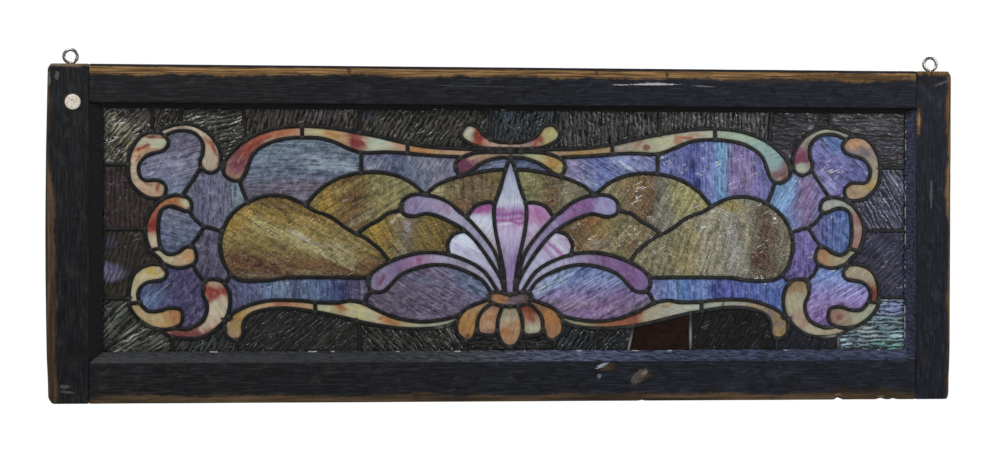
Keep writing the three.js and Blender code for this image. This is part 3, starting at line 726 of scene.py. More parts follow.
def putty_material():
    """Dark lumpy putty, lighter where sheen is set; speck marks pale specks on its edge."""
    n = Nodes("old_putty")
    lump = n.noise(n.grain(-8, 13, 1.9), 5, 0.68, 0.5)
    fine = n.noise(n.grain(0, 1.4, 1.0), 3, 0.6)
    across = n.remap(n.axis("X"), -0.1, 0.25)
    lit = n.mix(n.field("sheen"), "141416", n.mix(across, "54575a", "7c84b4"))
    colour = n.mix(n.remap(lump, 0.36, 0.68), n.mix(n.field("sheen"), "060608", "1c1e26"), lit)
    colour = n.mix(n.field("speck"), colour, "e4e2da")
    return n.set(Base_Color=colour, Roughness=n.remap(lump, 0.3, 0.7, 0.4, 0.6),
                 Specular_IOR_Level=0.22,
                 Normal=n.bump(n.math("MULTIPLY_ADD", fine, 0.3, lump), 0.8, 0.9))


def wire_material():
    n = Nodes("bright_wire")
    patch = n.noise(n.grain(0, 3.0, 3.0), 5, 0.65)
    fine = n.noise(n.grain(0, 0.45, 0.45), 3, 0.6)
    return n.set(Base_Color=n.mix(n.remap(patch, 0.35, 0.7), "7c7a78", "dcdad4"), Metallic=1.0,
                 Roughness=n.remap(patch, 0.3, 0.7, 0.224, 0.35),
                 Normal=n.bump(n.math("ADD", patch, fine), 0.2, 0.3))


def tack_material():
    """Aged cream paint with a black ring at its edge that is a painted shadow round the tack."""
    n = Nodes("tack_head")
    patch = n.noise(n.grain(20, 3.2, 2.4), 4, 0.7, 0.8)
    fine = n.noise(n.grain(0, 0.8, 0.8), 3, 0.6)
    colour = n.mix(n.remap(patch, 0.32, 0.52), "7c7064", "efe4d4")
    colour = n.mix(n.remap(fine, 0.6, 0.72, 0, 0.4), colour, "8c8274")
    # The black ring is a painted shadow round the tack's edge.
    colour = n.mix(n.field("ring"), colour, "08080a")
    return n.set(Base_Color=colour, Roughness=0.5, Normal=n.bump(patch, 0.4, 0.2))


def floor_material():
    n = Nodes("pale_floor")
    cloudy = n.noise(n.grain(0, 400, 400), 3, 0.5)
    colour = n.mix(n.remap(cloudy, 0.3, 0.7), "efefed", "f4f4f2")
    return n.set(Base_Color=colour, Roughness=0.9)


# ------------------------------------------------------------------ panes
# Rows by kind of glass: the CAD node, a point inside the pane with x from the window's axis,
# direction of the streaks in degrees, direction of the colour change, colours with their place
# along it, then patches of other colour as (x, z, half length, half width, degrees, colour,
# amount).

PANES = {
    "ground": [
        ("ground_left", -440, 100, 10, 90, "60:8799b9 78:9092b4 92:9496b8 112:7f7d97 135:74728c",
         [(-430, 88, 34, 6, -12, "a3a5c6", .6)]),
        ("ground_left", -395, 50, 85, 0, "-425:7b7993 -395:74759a -370:7f86a0 -350:8fa9bd",
         [(-357, 45, 22, 5, 80, "9db6c6", .6)]),
        ("ground_left", -440, 5, -20, 90, "-20:6c79a2 10:7c87ac 35:85859f", []),
        ("ground_left", -395, -25, 80, 90, "-55:625c7c -20:77708e 5:706e8c", []),
        ("ground_left", -440, -75, 50, 0, "-485:6f8bb8 -460:5f6797 -430:5a5484 -400:60588a",
         [(-470, -85, 20, 12, 50, "7290c0", .7)]),
        ("ground_left", -300, -75, 90, 0,
         "-368:5a5c84 -340:6c6f9e -318:6b86b2 -296:8aa4cc -284:5a6492 -262:7290bc -240:5c74a8 "
         "-222:46548a -205:5c5c86 -192:6d6788", []),
        ("ground_left", -290, 95, 4, 90, "45:8d89a0 60:7a7488 80:7b8aa6 100:7e90aa 125:86a0b2",
         [(-235, 92, 42, 9, -8, "a7bccb", .7), (-320, 100, 34, 8, 0, "8098b0", .6),
          (-270, 60, 40, 7, 6, "8c7f90", .6)]),
        ("ground_left", -140, 100, 62, 0,
         "-195:8d96b4 -165:7f88a8 -146:5a6a90 -128:7f8bac -100:9c9cb4 -75:8a88a6",
         [(-183, 88, 16, 3, 20, "b4bccc", .7), (-112, 72, 16, 8, 60, "6b7898", .5)]),
        ("crest_fill_left", -36, 89.5, 20, 0, "-60:7d86a6 -10:8b93ba", []),
        ("ground_right", 440, 100, -40, 60, "250:6a679e 285:6f6ea8 310:7d7ab4 345:5f78ae 370:7c7ab4",
         [(436, 122, 16, 9, -50, "5c7cb2", .8), (425, 75, 26, 10, -40, "9f9bd0", .8),
          (470, 78, 24, 8, -10, "5d62a0", .6), (400, 112, 22, 6, 60, "9a8fc6", .5)]),
        ("ground_right", 395, 50, 55, 0, "350:6f86b8 372:7ba2cf 388:7a86ba 405:8a74a0 425:7a76a8",
         [(376, 58, 26, 7, 55, "86b4de", .8), (398, 52, 30, 4, 55, "9c7aa0", .6)]),
        ("ground_right", 440, 5, 90, 0, "412:7570a4 432:5e68a6 455:5470ac", []),
        ("ground_right", 395, -25, 85, 90, "-55:685c98 -20:7a6cac 5:8278ae", []),
        ("ground_right", 440, -75, 35, 90, "-120:8a6cac -100:9c82bc -80:a294d4 -60:8fa2dc -45:7d96ce",
         [(455, -78, 22, 10, 10, "b0a6e2", .7), (430, -55, 30, 5, 35, "7f9cd6", .6)]),
        ("ground_right", 300, -75, 90, 0,
         "192:8f8cb6 212:7384c0 228:84a6dc 244:5a7cbc 262:7c92cc 278:3f4c92 292:5c66ac 330:5a6cae "
         "368:5a74b4", []),
        ("ground_right", 290, 95, 84, 0,
         "200:7884bc 228:6c74ac 250:50589a 272:7c86c2 288:74a2cc 306:8c7cb0 330:8078b0 345:6f70a8",
         [(284, 112, 9, 16, 0, "7cb0d4", .7), (252, 70, 4, 9, 0, "26306e", .9),
          (246, 92, 4, 14, 0, "3c4688", .7), (318, 80, 12, 22, 0, "94809e", .5)]),
        ("ground_right", 140, 100, -28, 0, "75:a49cb8 95:8c8ab2 130:6c7cb4 160:8d98c6 195:8288b4",
         [(150, 95, 26, 3, -28, "c2cae2", .8), (105, 72, 14, 6, -40, "a8b6d6", .6),
          (115, 98, 30, 5, -20, "6676ac", .6)]),
        ("crest_fill_right", 36, 89.5, 20, 0, "10:64789e 60:7286b4", []),
        ("lobe_left", -120, -80, -24, 30, "-190:7a6c84 -150:7f7090 -115:86789a -80:8a80a8 -50:7c8cb2",
         [(-58, -62, 30, 12, -35, "7f94bc", .7), (-120, -60, 40, 6, -14, "7c80a2", .6),
          (-110, -98, 44, 5, -20, "6c5c78", .5)]),
        ("lobe_right", 120, -80, 24, 90, "-115:8c70a0 -95:92809e -78:8c80b2 -60:8494be -45:7c8cc0",
         [(60, -62, 34, 10, 30, "9ab2d4", .7), (92, -52, 20, 5, 50, "4c5c96", .7),
          (128, -92, 40, 7, 25, "9a78ac", .6), (40, -72, 14, 8, 40, "c0c6d6", .6)]),
    ],
    "amber": [
        ("oval_left", -300, 0, -26, 90, "-58:5a4020 -40:74522c -20:8a7636 0:94803c 25:92762c 48:6e5624",
         [(-322, 8, 70, 9, -27, "aaa060", .8), (-250, -22, 60, 8, -27, "b0a670", .8),
          (-275, -4, 26, 5, -27, "b2a890", .6), (-340, -36, 44, 9, -18, "6a4426", .9),
          (-358, 18, 22, 12, 40, "a8841e", .7), (-300, 36, 44, 6, -14, "6a5220", .8),
          (-222, -22, 26, 10, -30, "a89c6c", .6), (-268, -52, 30, 5, -8, "8a7a58", .6),
          (-330, -54, 34, 4, -4, "7a684c", .7)]),
        ("dome_outer_left", -200, 50, 30, 0,
         "-262:8c7a40 -245:a08228 -225:80662c -205:6c4c24 -180:7c7038 -150:8c8650 -125:7c7440",
         [(-242, 40, 14, 10, 0, "b08c1e", .7), (-200, 20, 30, 5, 30, "8a8664", .5),
          (-160, 55, 30, 14, -30, "948c52", .6), (-218, 62, 22, 6, 30, "94843c", .6)]),
        ("dome_middle_left", -140, 5, -55, 0,
         "-195:8a7834 -170:9c7c1c -155:847034 -138:86785e -118:7e6a34 -95:7c6420 -75:5c4c24",
         [(-165, 2, 14, 4, -55, "b08418", .8), (-137, 8, 16, 5, 78, "948894", .8),
          (-150, 24, 16, 3, 45, "c4b888", .7), (-98, 16, 20, 8, 20, "8a7020", .6)]),
        ("dome_inner_left", -60, 60, 88, 0,
         "-108:a8a06c -92:b4ac78 -80:80764c -60:7a6640 -35:786444 -15:74643a",
         [(-62, 42, 14, 8, -30, "845840", .7), (-70, 64, 4, 16, 0, "9c9064", .5)]),
        ("oval_right", 300, 0, 80, 0,
         "185:8c8458 205:807c56 225:8c8454 245:968a50 262:989070 282:948e6c 300:8c8878 322:8a846c "
         "345:5e4a30 370:7c7256",
         [(296, 40, 22, 10, -20, "98862c", .8), (345, 0, 14, 16, 40, "6c4c2c", .8),
          (336, -30, 12, 16, 10, "5c3420", .9), (352, -42, 18, 6, -30, "6c4628", .7),
          (300, -10, 12, 40, 12, "a09c90", .7), (318, 5, 5, 32, 10, "a89c74", .6),
          (245, -8, 6, 34, 0, "a8965c", .6), (222, -30, 8, 20, 0, "907c3c", .6)]),
        ("dome_outer_right", 200, 50, 60, 0,
         "125:8a8458 150:8a7c48 172:7c5c30 190:6c4c28 208:84806c 232:969048 262:948c4c",
         [(240, 48, 22, 12, 30, "a49a50", .6), (210, 22, 24, 10, 0, "8a8478", .6),
          (175, 66, 16, 8, 0, "8a6c30", .6)]),
        ("dome_middle_right", 140, 5, 40, 0,
         "75:6c5430 95:7c5c24 120:8c6a28 145:847840 170:827440 198:6c5c38",
         [(112, 20, 18, 8, 10, "946018", .7), (165, -14, 12, 8, 0, "80503c", .5),
          (120, -14, 20, 8, 0, "8a806c", .6)]),
        ("dome_inner_right", 60, 60, 20, 0, "12:8c8c54 35:8a8448 60:6e5832 85:84805c 108:6c664c",
         [(58, 48, 14, 8, 60, "6c4820", .7), (32, 68, 14, 8, 0, "9c9460", .5)]),
    ],
    "scroll": [
        ("curl_upper_left", -470, 125, 0, 90,
         "48:cfa682 60:d4b48c 76:d8c29c 98:dac29c 112:d49c70 120:c8c8a4 126:d2ceac 131:8a2a22",
         [(-482, 114, 14, 2.6, 24, "a83c28", .9), (-462, 118, 12, 6, 15, "ced6ae", .9),
          (-470, 127, 16, 2.4, 0, "8c2820", .9), (-490, 98, 9, 2, 60, "b8603c", .8),
          (-464, 61, 7, 3, 70, "b04c24", .9), (-457, 57, 6, 5, 0, "c08c68", .6),
          (-478, 66, 8, 2, -30, "b0583c", .7), (-492, 90, 5, 12, 90, "dccbb0", .5)]),
        ("arc_upper_left", -394, 94, 70, 90,
         "82:c49c7c 92:c4b49c 104:c8b89c 118:d0a88c 132:dcc8a4 145:dcceaa",
         [(-391, 112, 17, 2.2, -66, "a03820", .9), (-399, 121, 12, 2.2, -56, "b86440", .8),
          (-388, 128, 10, 1.6, -50, "a85038", .6), (-432, 141, 8, 4, 0, "c49890", .7),
          (-384, 95, 10, 3, -85, "b46c40", .7)]),
        ("hook_middle_left", -469, 0, 80, 90,
         "-20:d8ca9c -6:dccca4 2:b43c2c 12:a43428 24:b05040 34:c8784c 42:d48440 50:d4c49c",
         [(-426, 40, 10, 7, -20, "cfd2aa", .9), (-444, 44, 9, 5, 0, "c8702c", .9),
          (-473, 8, 5, 9, 90, "962420", .8), (-474, 28, 5, 8, 60, "b06850", .8)]),
        ("hook_middle_left", -428, -30, 0, 0, "-465:cccca4 -445:d4c49c -430:dcb884 -412:d4a870",
         [(-425, -27, 9, 6, 0, "d89c58", .8)]),
        ("curl_lower_left", -470, -48, 40, 90, "-90:d4cc9c -70:d8c898 -55:dccc90 -42:ccbc80",
         [(-473, -49, 7, 9, 60, "d8b434", .9), (-456, -48, 6, 6, 0, "c8b070", .6)]),
        ("curl_lower_left", -441, -110, 85, 0,
         "-495:d8b474 -478:d4b47c -462:dcbc78 -448:dca85c -436:c88850",
         [(-442, -104, 9, 9, 0, "cf8a48", .8), (-462, -112, 12, 4, 0, "d8c48c", .6)]),
        ("arc_lower_left", -385, -80, -60, 90,
         "-135:8c4444 -126:b06c64 -118:dcbca0 -104:dccaa4 -90:dcccae -80:b85440 -72:9c3830 -66:c8a07c "
         "-60:c4c69c",
         [(-392, -82, 15, 5, 42, "a83c38", .9), (-378, -92, 12, 5, -80, "dccaac", .8),
          (-432, -129, 20, 6, 0, "904848", .9), (-400, -120, 12, 5, 40, "dcc8a4", .8)]),
        ("scroll_upper_left", -362, 88, 30, 28,
         "-295:b0906c -278:9c6064 -262:8f4a54 -245:bc6248 -225:c0583c -205:cc8058 -180:d8a078 "
         "-150:d8a070 -120:dcb890",
         [(-362, 92, 10, 6, 10, "88405c", .8), (-346, 113, 20, 3, 45, "a83420", .85),
          (-330, 122, 22, 2.4, 30, "9c3424", .7), (-312, 124, 16, 3, 10, "dcc09c", .8),
          (-300, 134, 20, 3, 8, "cc6c34", .8), (-358, 76, 9, 5, 0, "b8906c", .8)]),
        ("scroll_upper_left", -210, 124, -20, 0,
         "-272:dcd0a0 -248:dcc888 -232:d8b064 -216:d0a478 -206:b04c40 -192:c49470 -180:ccd4b4 "
         "-158:d0d0b0 -142:d4a880",
         [(-204, 122, 15, 6, -32, "962c34", .9), (-236, 131, 12, 4, -20, "d8943c", .8),
          (-150, 118, 10, 3, -50, "d8a888", .7), (-176, 122, 12, 6, 0, "c8dcbc", .7)]),
        ("scroll_upper_left", -105, 112, 0, 0, "-134:d89c58 -115:d88c44 -95:dca468 -70:d4ac84", []),
        ("scroll_lower_left", -362, -125, 40, 28,
         "-385:b0906c -376:c09c5c -366:cc9830 -354:c8a45c -340:dcb880 -310:dcae6c -290:d89c6c "
         "-270:d8b47c -240:dccc94",
         [(-302, -91, 14, 4, 0, "cc7048", .8), (-362, -134, 8, 5, 0, "b48c70", .8)]),
        ("scroll_lower_left", -200, -98, -20, 0,
         "-254:ccc090 -238:ccd0a0 -222:cc9c60 -212:ccc494 -195:dcd48c -175:d4cca0 -160:c89454 "
         "-148:cc9c5c -130:ccc49c -100:bcc8a4 -80:b8c0a0",
         [(-224, -96, 9, 4, -30, "c87030", .9), (-162, -114, 14, 4, -16, "c47c34", .8)]),
        ("curl_upper_right", 470, 125, -40, 90,
         "48:bc9c7c 60:c0a47c 70:c4b070 84:bcae94 100:b0a48c 112:94848c 122:cca074 131:cca87c",
         [(464, 124, 12, 7, 0, "d89c60", .9), (482, 112, 12, 4, -45, "7c6c7c", .8),
          (487, 66, 8, 8, 40, "c8a850", .8), (466, 58, 9, 6, 0, "b8906c", .7)]),
        ("arc_upper_right", 394, 94, 35, 90,
         "82:c0c8b4 92:b8bcac 100:903c64 108:8c4468 114:9c7c8c 126:a49a90 138:bcbca4 146:ccd0a8",
         [(392, 104, 15, 4, 33, "8c2c58", .9), (386, 112, 10, 3, 33, "943c64", .8),
          (392, 90, 10, 6, 10, "c0ccb4", .9), (425, 141, 20, 4, 0, "c8cca4", .7)]),
        ("hook_middle_right", 469, 0, 90, 90,
         "-20:c08c7c -5:bc8c80 10:c49c90 22:b48478 32:b8b4a0 42:b8c0b4 50:a8b0a0",
         [(473, 20, 4, 8, 0, "ac6c60", .7), (430, 40, 10, 7, 0, "bcc4b4", .8)]),
        ("hook_middle_right", 428, -30, 0, 0, "412:c49058 428:c89464 445:c0ac84 465:c0bc9c",
         [(424, -28, 8, 6, 0, "c88c54", .8)]),
        ("curl_lower_right", 470, -48, 40, 90, "-92:a46450 -80:9c4c3c -70:a86c54 -62:bca890 -48:c0b490",
         [(491, -76, 6, 10, 90, "94402c", .9), (465, -48, 12, 6, 0, "c4b894", .7)]),
        ("curl_lower_right", 441, -110, 30, 0, "432:b49c7c 446:b08478 460:b8a484 475:c0bc9c 495:bcc8a4",
         [(448, -111, 6, 4, 40, "9c4c50", .8), (475, -112, 14, 6, -20, "c0c8a4", .7)]),
        ("arc_lower_right", 385, -80, -70, 90,
         "-136:ccc4a4 -124:d0c49c -110:c8a494 -96:ccc498 -84:ccc49c -74:b89c70 -64:a48c64",
         [(386, -72, 14, 8, 20, "b4945c", .8), (398, -120, 20, 5, 50, "c49880", .7),
          (382, -95, 6, 12, 0, "d0c898", .8), (430, -131, 16, 4, 0, "c8b888", .7)]),
        ("scroll_upper_right", 362, 88, 20, 152,
         "-295:8c6468 -284:94787c -272:a0bcb8 -255:9cc4c4 -235:b0d4c0 -215:b4d4b8 -190:b8ccac "
         "-160:c4c8b0 -120:c4c8bc",
         [(364, 80, 10, 6, 0, "8c5c64", .9), (360, 74, 8, 3, 20, "b8a894", .7),
          (362, 104, 12, 10, 60, "98c8cc", .7), (322, 128, 12, 6, 30, "b8d8b4", .6)]),
        ("scroll_upper_right", 210, 124, 15, 0,
         "140:a89c90 158:b8a894 180:c0bc98 200:c8c89c 225:cccaa0 250:d0ccac 272:c8ccb4",
         [(236, 130, 15, 2.6, -6, "cc5c24", .9), (226, 126, 5, 6, 0, "d08450", .8),
          (182, 117, 5, 4, 0, "8c3024", .9), (172, 121, 10, 4, 50, "c08460", .7),
          (250, 134, 10, 3, 0, "d49c68", .6)]),
        ("scroll_upper_right", 105, 112, 0, 0, "70:c8a878 95:c49850 115:b8904c 134:c0a070", []),
        ("scroll_lower_right", 362, -125, 50, 152,
         "-385:b4945c -374:b89c6c -362:8c7a78 -350:c0a878 -334:bc9c78 -320:b8a490 -300:bcc4ac "
         "-275:c0ccb4 -255:b8bc94 -240:c4c49c",
         [(364, -120, 8, 5, 0, "8c7c80", .7), (362, -134, 8, 5, 0, "bc9850", .8),
          (288, -93, 1.6, 7, -10, "5c3c30", .9), (310, -93, 16, 4, 0, "bccab8", .6)]),
        ("scroll_lower_right", 200, -98, -20, 0,
         "80:a4a47c 105:b4ac84 125:b88458 142:bc6c3c 158:c07044 172:b05430 185:c8b090 205:ccc8a8 "
         "228:c8ccb4 254:c0ccb8",
         [(172, -105, 8, 4, 20, "9c2c1c", .9), (212, -95, 9, 3, 20, "c08c5c", .7),
          (148, -112, 16, 4, -25, "b86034", .8)]),
        ("crest_upper", -56, 137, 30, 0,
         "-66:c4c49c -52:c8c8ac -44:a8442c -36:ac4c3c -26:d8a088 -8:dcc0a0 8:d4bca0 26:bc9c90 34:b0504c "
         "42:c8a06c 50:ccc070 66:c8c488",
         [(-58, 138, 6, 9, 90, "ccd0b4", .8), (-43, 131, 5, 7, 60, "8c2c1c", .8),
          (38, 129, 12, 3.6, -50, "a43c3c", .9), (58, 138, 7, 9, 90, "ccc464", .8)]),
        ("crest_lower", -62, 92, 0, 0,
         "-72:844060 -55:8c4868 -44:ac7474 -30:c8a078 -10:b8a088 5:98887c 20:c0b888 40:d0c88c 56:c89c3c "
         "70:ccb860",
         [(-60, 92, 10, 7, 30, "843c68", .9), (-45, 104, 12, 3, 20, "d0b48c", .8),
          (57, 92, 9, 7, 40, "c88c1c", .8), (30, 106, 12, 3, 0, "ccd09c", .7)]),
    ],
    "drop": [
        ("knot", 0, -88, 0, 0, "-26:b08464 -10:bc844c 0:a88470 12:84708c 26:74645c",
         [(-8, -86, 5, 4, 0, "c4783c", .7)]),
        ("drop_outer_left", -58, -120, 80, 90, "-141:b88450 -128:c48c3c -112:c89040 -98:cc9c64",
         [(-56, -134, 4, 3, 0, "7c4420", .9), (-62, -118, 6, 10, 90, "cc9034", .7)]),
        ("drop_inner_left", -30, -118, 70, 90, "-134:b48870 -122:cc9c70 -104:cc9468 -94:b88460",
         [(-28, -110, 7, 4, 20, "d08c4c", .8), (-24, -128, 6, 4, 0, "a46c5c", .7)]),
        ("drop_centre", 0, -125, 80, 90, "-150:c49468 -132:c89460 -116:ccb088 -100:c0b090",
         [(-4, -130, 5, 9, 80, "c87c38", .8), (-8, -112, 4, 10, 85, "c8c4a0", .8),
          (8, -120, 5, 9, 90, "cc8c54", .7)]),
        ("drop_inner_right", 30, -118, 70, 90, "-134:c4c4a0 -122:ccc49c -110:bc8464 -100:94442c -94:8c4434",
         [(28, -112, 4, 6, 60, "a84c3c", .8), (33, -126, 6, 5, 0, "ccccac", .8)]),
        ("drop_outer_right", 58, -120, 80, 90, "-141:c0946c -125:c4844c -108:c8803c -96:a87c4c",
         [(54, -108, 6, 8, 50, "cc8830", .8)]),
    ],
    "plume": [
        ("spear", 0, 30, 90, 90,
         "-76:a07cb4 -60:a482b8 -40:a07cb0 -22:b498c4 -8:c8a8d4 6:d0b0d8 14:c890c4 18:a84490 22:c89cd0 "
         "27:9c4c98 34:c4a4d0 42:d4d0e4 58:c4c0dc 74:b8b0d0 96:9c94bc",
         [(-14, 32, 8, 5, 0, "b050a0", .7), (10, 21, 12, 1.8, 0, "a83090", .9),
          (-8, 14, 10, 1.6, 4, "e8dcf0", .9), (8, -34, 6, 10, 90, "9468ac", .5)]),
        ("petal_upper_left", -34, 30, 60, 90, "-10:c8a8bc 8:d8cce0 24:e0d4ec 32:bc64a8 42:c07cb4",
         [(-38, 34, 16, 5, 20, "b44c9c", .9), (-30, 16, 8, 14, 90, "e0d8ec", .8)]),
        ("petal_lower_left", -70, -10, -35, 135, "-30:bca4cc 0:ccbce0 25:dcd4ec 50:e4dcf0",
         [(-60, -22, 20, 6, -25, "c4acdc", .6)]),
        ("petal_upper_right", 34, 30, -60, 90, "-10:c0a4c0 8:c898c4 24:cc84bc 32:cc84c0 42:d49cc8",
         [(38, 26, 12, 4, -60, "c45cac", .7), (30, 8, 6, 12, 90, "d0bcd8", .7)]),
        ("petal_lower_right", 70, -10, -40, 45, "20:c8b8dc 40:dccce4 60:c478b4 75:dcc8e4",
         [(62, -20, 30, 3, -42, "c45cb0", .9), (50, -22, 22, 3, -46, "cc84c0", .8),
          (74, 0, 10, 6, 0, "e0d4ec", .6)]),
        ("plume_upper_left", -130, 40, 60, 0,
         "-144:8c7c9c -125:9c84b0 -108:a08cb8 -92:a88cb0 -80:b8a4c0 -66:b8a8c8 -45:a898b8 -20:b0a0c4",
         [(-126, 40, 3, 10, 0, "8c5c90", .7), (-86, 36, 4, 10, 30, "b47cac", .7)]),
        ("plume_upper_right", 130, 40, -60, 0,
         "20:b4a4c4 45:a488b8 66:9c78ac 86:9c64a0 104:98609c 118:a080b4 122:a896c8 145:a898cc",
         [(104, 38, 10, 8, 0, "8c5494", .7), (60, 14, 14, 4, -45, "b49cc8", .6)]),
        ("plume_lower_left", -175, -60, 70, 0,
         "-188:8c849c -174:94789c -160:9c80a8 -144:8c6898 -128:a470a0 -112:b080a8 -90:bca8cc -60:9c88a4 "
         "-30:b8a4c0",
         [(-170, -60, 3, 12, -30, "8c3c70", .9), (-122, -34, 4, 8, 20, "a44c88", .7),
          (-45, -52, 20, 3, -35, "c8b4d0", .7)]),
        ("plume_lower_right", 175, -60, -70, 0,
         "30:bca4c8 60:c4b4d8 90:b49cc8 115:a078a8 128:8c5c8c 145:9868a4 168:8c5c98 188:8c68a4",
         [(126, -33, 4, 8, 0, "7c4c7c", .6), (165, -64, 3, 12, 20, "7c4484", .6)]),
    ],
}

# Border panes: kind, point, direction of the ripples, broad colour, patches of other colour.
BORDER_PANES = [
    ("border", -510, 130, 48, "3c3830", [(-515, 140, 40, 12, -42, "8c8674", .45),
     (-500, 115, 30, 5, -45, "70684c", .6), (-530, 100, 14, 5, -45, "6c6c68", .5)]),
    ("border", -449, 155, 80, "2c2824", []),
    ("border", -390, 155, 20, "2e2e27", [(-415, 150, 20, 8, 0, "3c3c34", .7)]),
    ("border", -275, 157, 80, "332c28", [(-245, 158, 18, 6, 0, "4c4450", .6)]),
    ("border", -110, 150, 65, "2e2b25", [(-190, 158, 8, 8, 90, "3c3850", .5)]),
    ("border", 0, 152, 80, "252a2c", [(-5, 158, 20, 8, 0, "2c3c48", .8),
     (45, 160, 12, 6, 0, "26343c", .6)]),
    ("still", -520, 45, 85, "322b28", [(-515, 70, 12, 12, 0, "3c3038", .6)]),
    ("still", -520, -30, 80, "2c2823", [(-525, -50, 12, 22, 90, "6a6480", .8),
     (-524, -10, 10, 10, 0, "383448", .6)]),
    ("border", -520, -105, 52, "383c34", [(-512, -100, 16, 4, 50, "6c7064", .4),
     (-524, -120, 20, 3, 50, "70746c", .4)]),
    ("border", -475, -145, 35, "383a32", [(-500, -140, 30, 5, 38, "6c7064", .7),
     (-470, -140, 16, 8, 0, "4c4e46", .6)]),
    ("border", -402, -148, 60, "2a2b2a", [(-400, -145, 12, 10, 90, "343a40", .6)]),
    ("still", -276, -134, 50, "20201e", [(-250, -140, 16, 4, 50, "3c3c38", .6)]),
    ("border", -135, -144, -40, "23241f", [(-180, -140, 16, 8, 40, "383830", .6)]),
    ("border", -67, -144, -60, "2a2c2a", [(-80, -132, 12, 3, -60, "5c6064", .6)]),
    ("border", 0, -152, 0, "1f1f1e", []),
    ("still", 510, 130, 0, "312f32", [(500, 152, 20, 10, 0, "504e50", .7),
     (515, 120, 16, 10, 0, "3a3a48", .7)]),
    ("still", 385, 140, 5, "2a272b", [(395, 148, 22, 3, -30, "50505c", .6),
     (375, 110, 20, 3, -30, "605c66", .6)]),
    ("border", 281, 157, 85, "3a3734", [(330, 160, 10, 10, 90, "505056", .6)]),
    ("border", 126, 147, 84, "302e2b", []),
    ("still", 515, 45, -55, "383748", [(525, 70, 30, 4, -50, "6c6c84", .7),
     (505, 40, 26, 4, -50, "4e4e66", .6)]),
    ("still", 515, -35, 40, "393849", [(510, -20, 16, 10, 0, "484860", .6)]),
    ("border", 506, -131, 4, "62767e", [(510, -150, 26, 9, 0, "37685c", .8),
     (520, -100, 24, 9, 0, "6a7298", .8), (482, -128, 26, 8, -35, "8c9898", .7),
     (472, -150, 14, 8, 0, "34383c", .8)]),
    ("still", 402, -148, 60, "24252c", []),
    ("still", 301, -133, 60, "1c1b1b", [(330, -150, 14, 5, 60, "30303a", .6)]),
    ("smooth", 207, -139, 0, "24130e", []),
    ("border", 141, -144, 50, "1d2023", []),
    ("border", 91, -144, 60, "202426", []),
]

# Depth and strength of colour of each kind of glass against its named colours; the right
# half of the window is a little lighter.
GAIN = {"ground": (0.68, 0.8), "amber": (1.0, 0.85), "scroll": (0.82, 0.78), "plume": (0.98, 0.8),
        "drop": (0.8, 0.8), "border": (0.95, 1.0), "smooth": (1.0, 1.0), "still": (1.12, 1.0)}
GAIN_RIGHT = {"ground": (1.38, 1.2), "amber": (1.08, 0.9)}

DARK_KINDS = ("border", "still")

# How far a pane reaches past the lead's centre line.
UNDER_LEAD = 0.8


def pane_colour(kind, x, z, away_mm, seed, direction, stops, patches):
    """Linear colour at each point of a pane, darker close to the leads, partly dirt along them and partly
    painted shade.
    """
    a = math.radians(direction)
    t = x * math.cos(a) + z * math.sin(a) + 5.0 * cloud(x, z, 16, seed, 2)
    places, tones = zip(*(stop.split(":") for stop in stops.split()))
    tones = np.array([srgb(tone) for tone in tones])
    rgb = np.stack([np.interp(t, [float(v) for v in places], tones[:, i]) for i in range(3)], 1)
    broad = 0.3 if kind in DARK_KINDS else 0.16
    rgb *= (1 + broad * cloud(x, z, 26, seed + 5, 3))[:, None]
    for *patch, tone, amount in patches:
        d = in_patch(x, z, patch) + 0.45 * cloud(x, z, max(5.0, patch[3]), seed + 9, 2)
        m = (amount * (1 - smooth(0.55, 1.25, d)))[:, None]
        rgb = rgb * (1 - m) + srgb(tone) * m
    # Darker within a few mm of the leads: dirt along them and painted shade beside them.
    rgb *= (1 - 0.3 * (1 - smooth(2.6, 4.6, away_mm)))[:, None]
    depth, strength = GAIN[kind]
    if x.mean() > AXIS_X + 40 and kind in GAIN_RIGHT:
        depth, strength = depth * GAIN_RIGHT[kind][0], strength * GAIN_RIGHT[kind][1]
    grey = rgb @ np.array([0.25, 0.6, 0.15])
    rgb = depth * (grey[:, None] * (1 - strength) + rgb * strength)
    return rgb * np.array([0.96, 1.1, 1.08]) if kind == "plume" else rgb


def pane_relief(kind, x, z, away_mm, seed, grain):
    """How far each point of a pane's face stands back, level beside the leads."""
    g = math.radians(grain)
    along, across = x * math.cos(g) + z * math.sin(g), z * math.cos(g) - x * math.sin(g)
    across = across + 3.0 * cloud(x, z, 22, seed + 2, 2)
    if kind in DARK_KINDS:
        relief = 0.42 * lattice_noise(along / 16, across / 5.4, seed) + 0.14 * cloud(x, z, 9, seed, 2)
    elif kind == "amber":
        relief = 0.22 * lattice_noise(along / 9, across / 5.2, seed) + 0.08 * cloud(x, z, 12, seed, 2)
    else:
        relief = 0.10 * lattice_noise(along / 24, across / 7, seed) + 0.06 * cloud(x, z, 30, seed, 2)
    return relief * smooth(1.0, 5.0, away_mm)


def glint_strength(kind, x, z):
    """How strongly a pane with its middle at x, z shows glints."""
    if kind not in DARK_KINDS:
        return 1.0 if x > 120 else 0.3
    low_or_still = z < -100 or kind == "still"
    at_corner = z > 100 and abs(x) > 350 or x > 450
    return (0.8 if at_corner else 0.3) * (0.4 if low_or_still else 1.0)


def outline(faces):
    """The directed edges that only one of the faces has."""
    edges = {}
    for face in faces.tolist():
        for u, v in zip(face, face[1:] + face[:1]):
            if edges.pop((v, u), None) is None:
                edges[(u, v)] = True
    return list(edges)


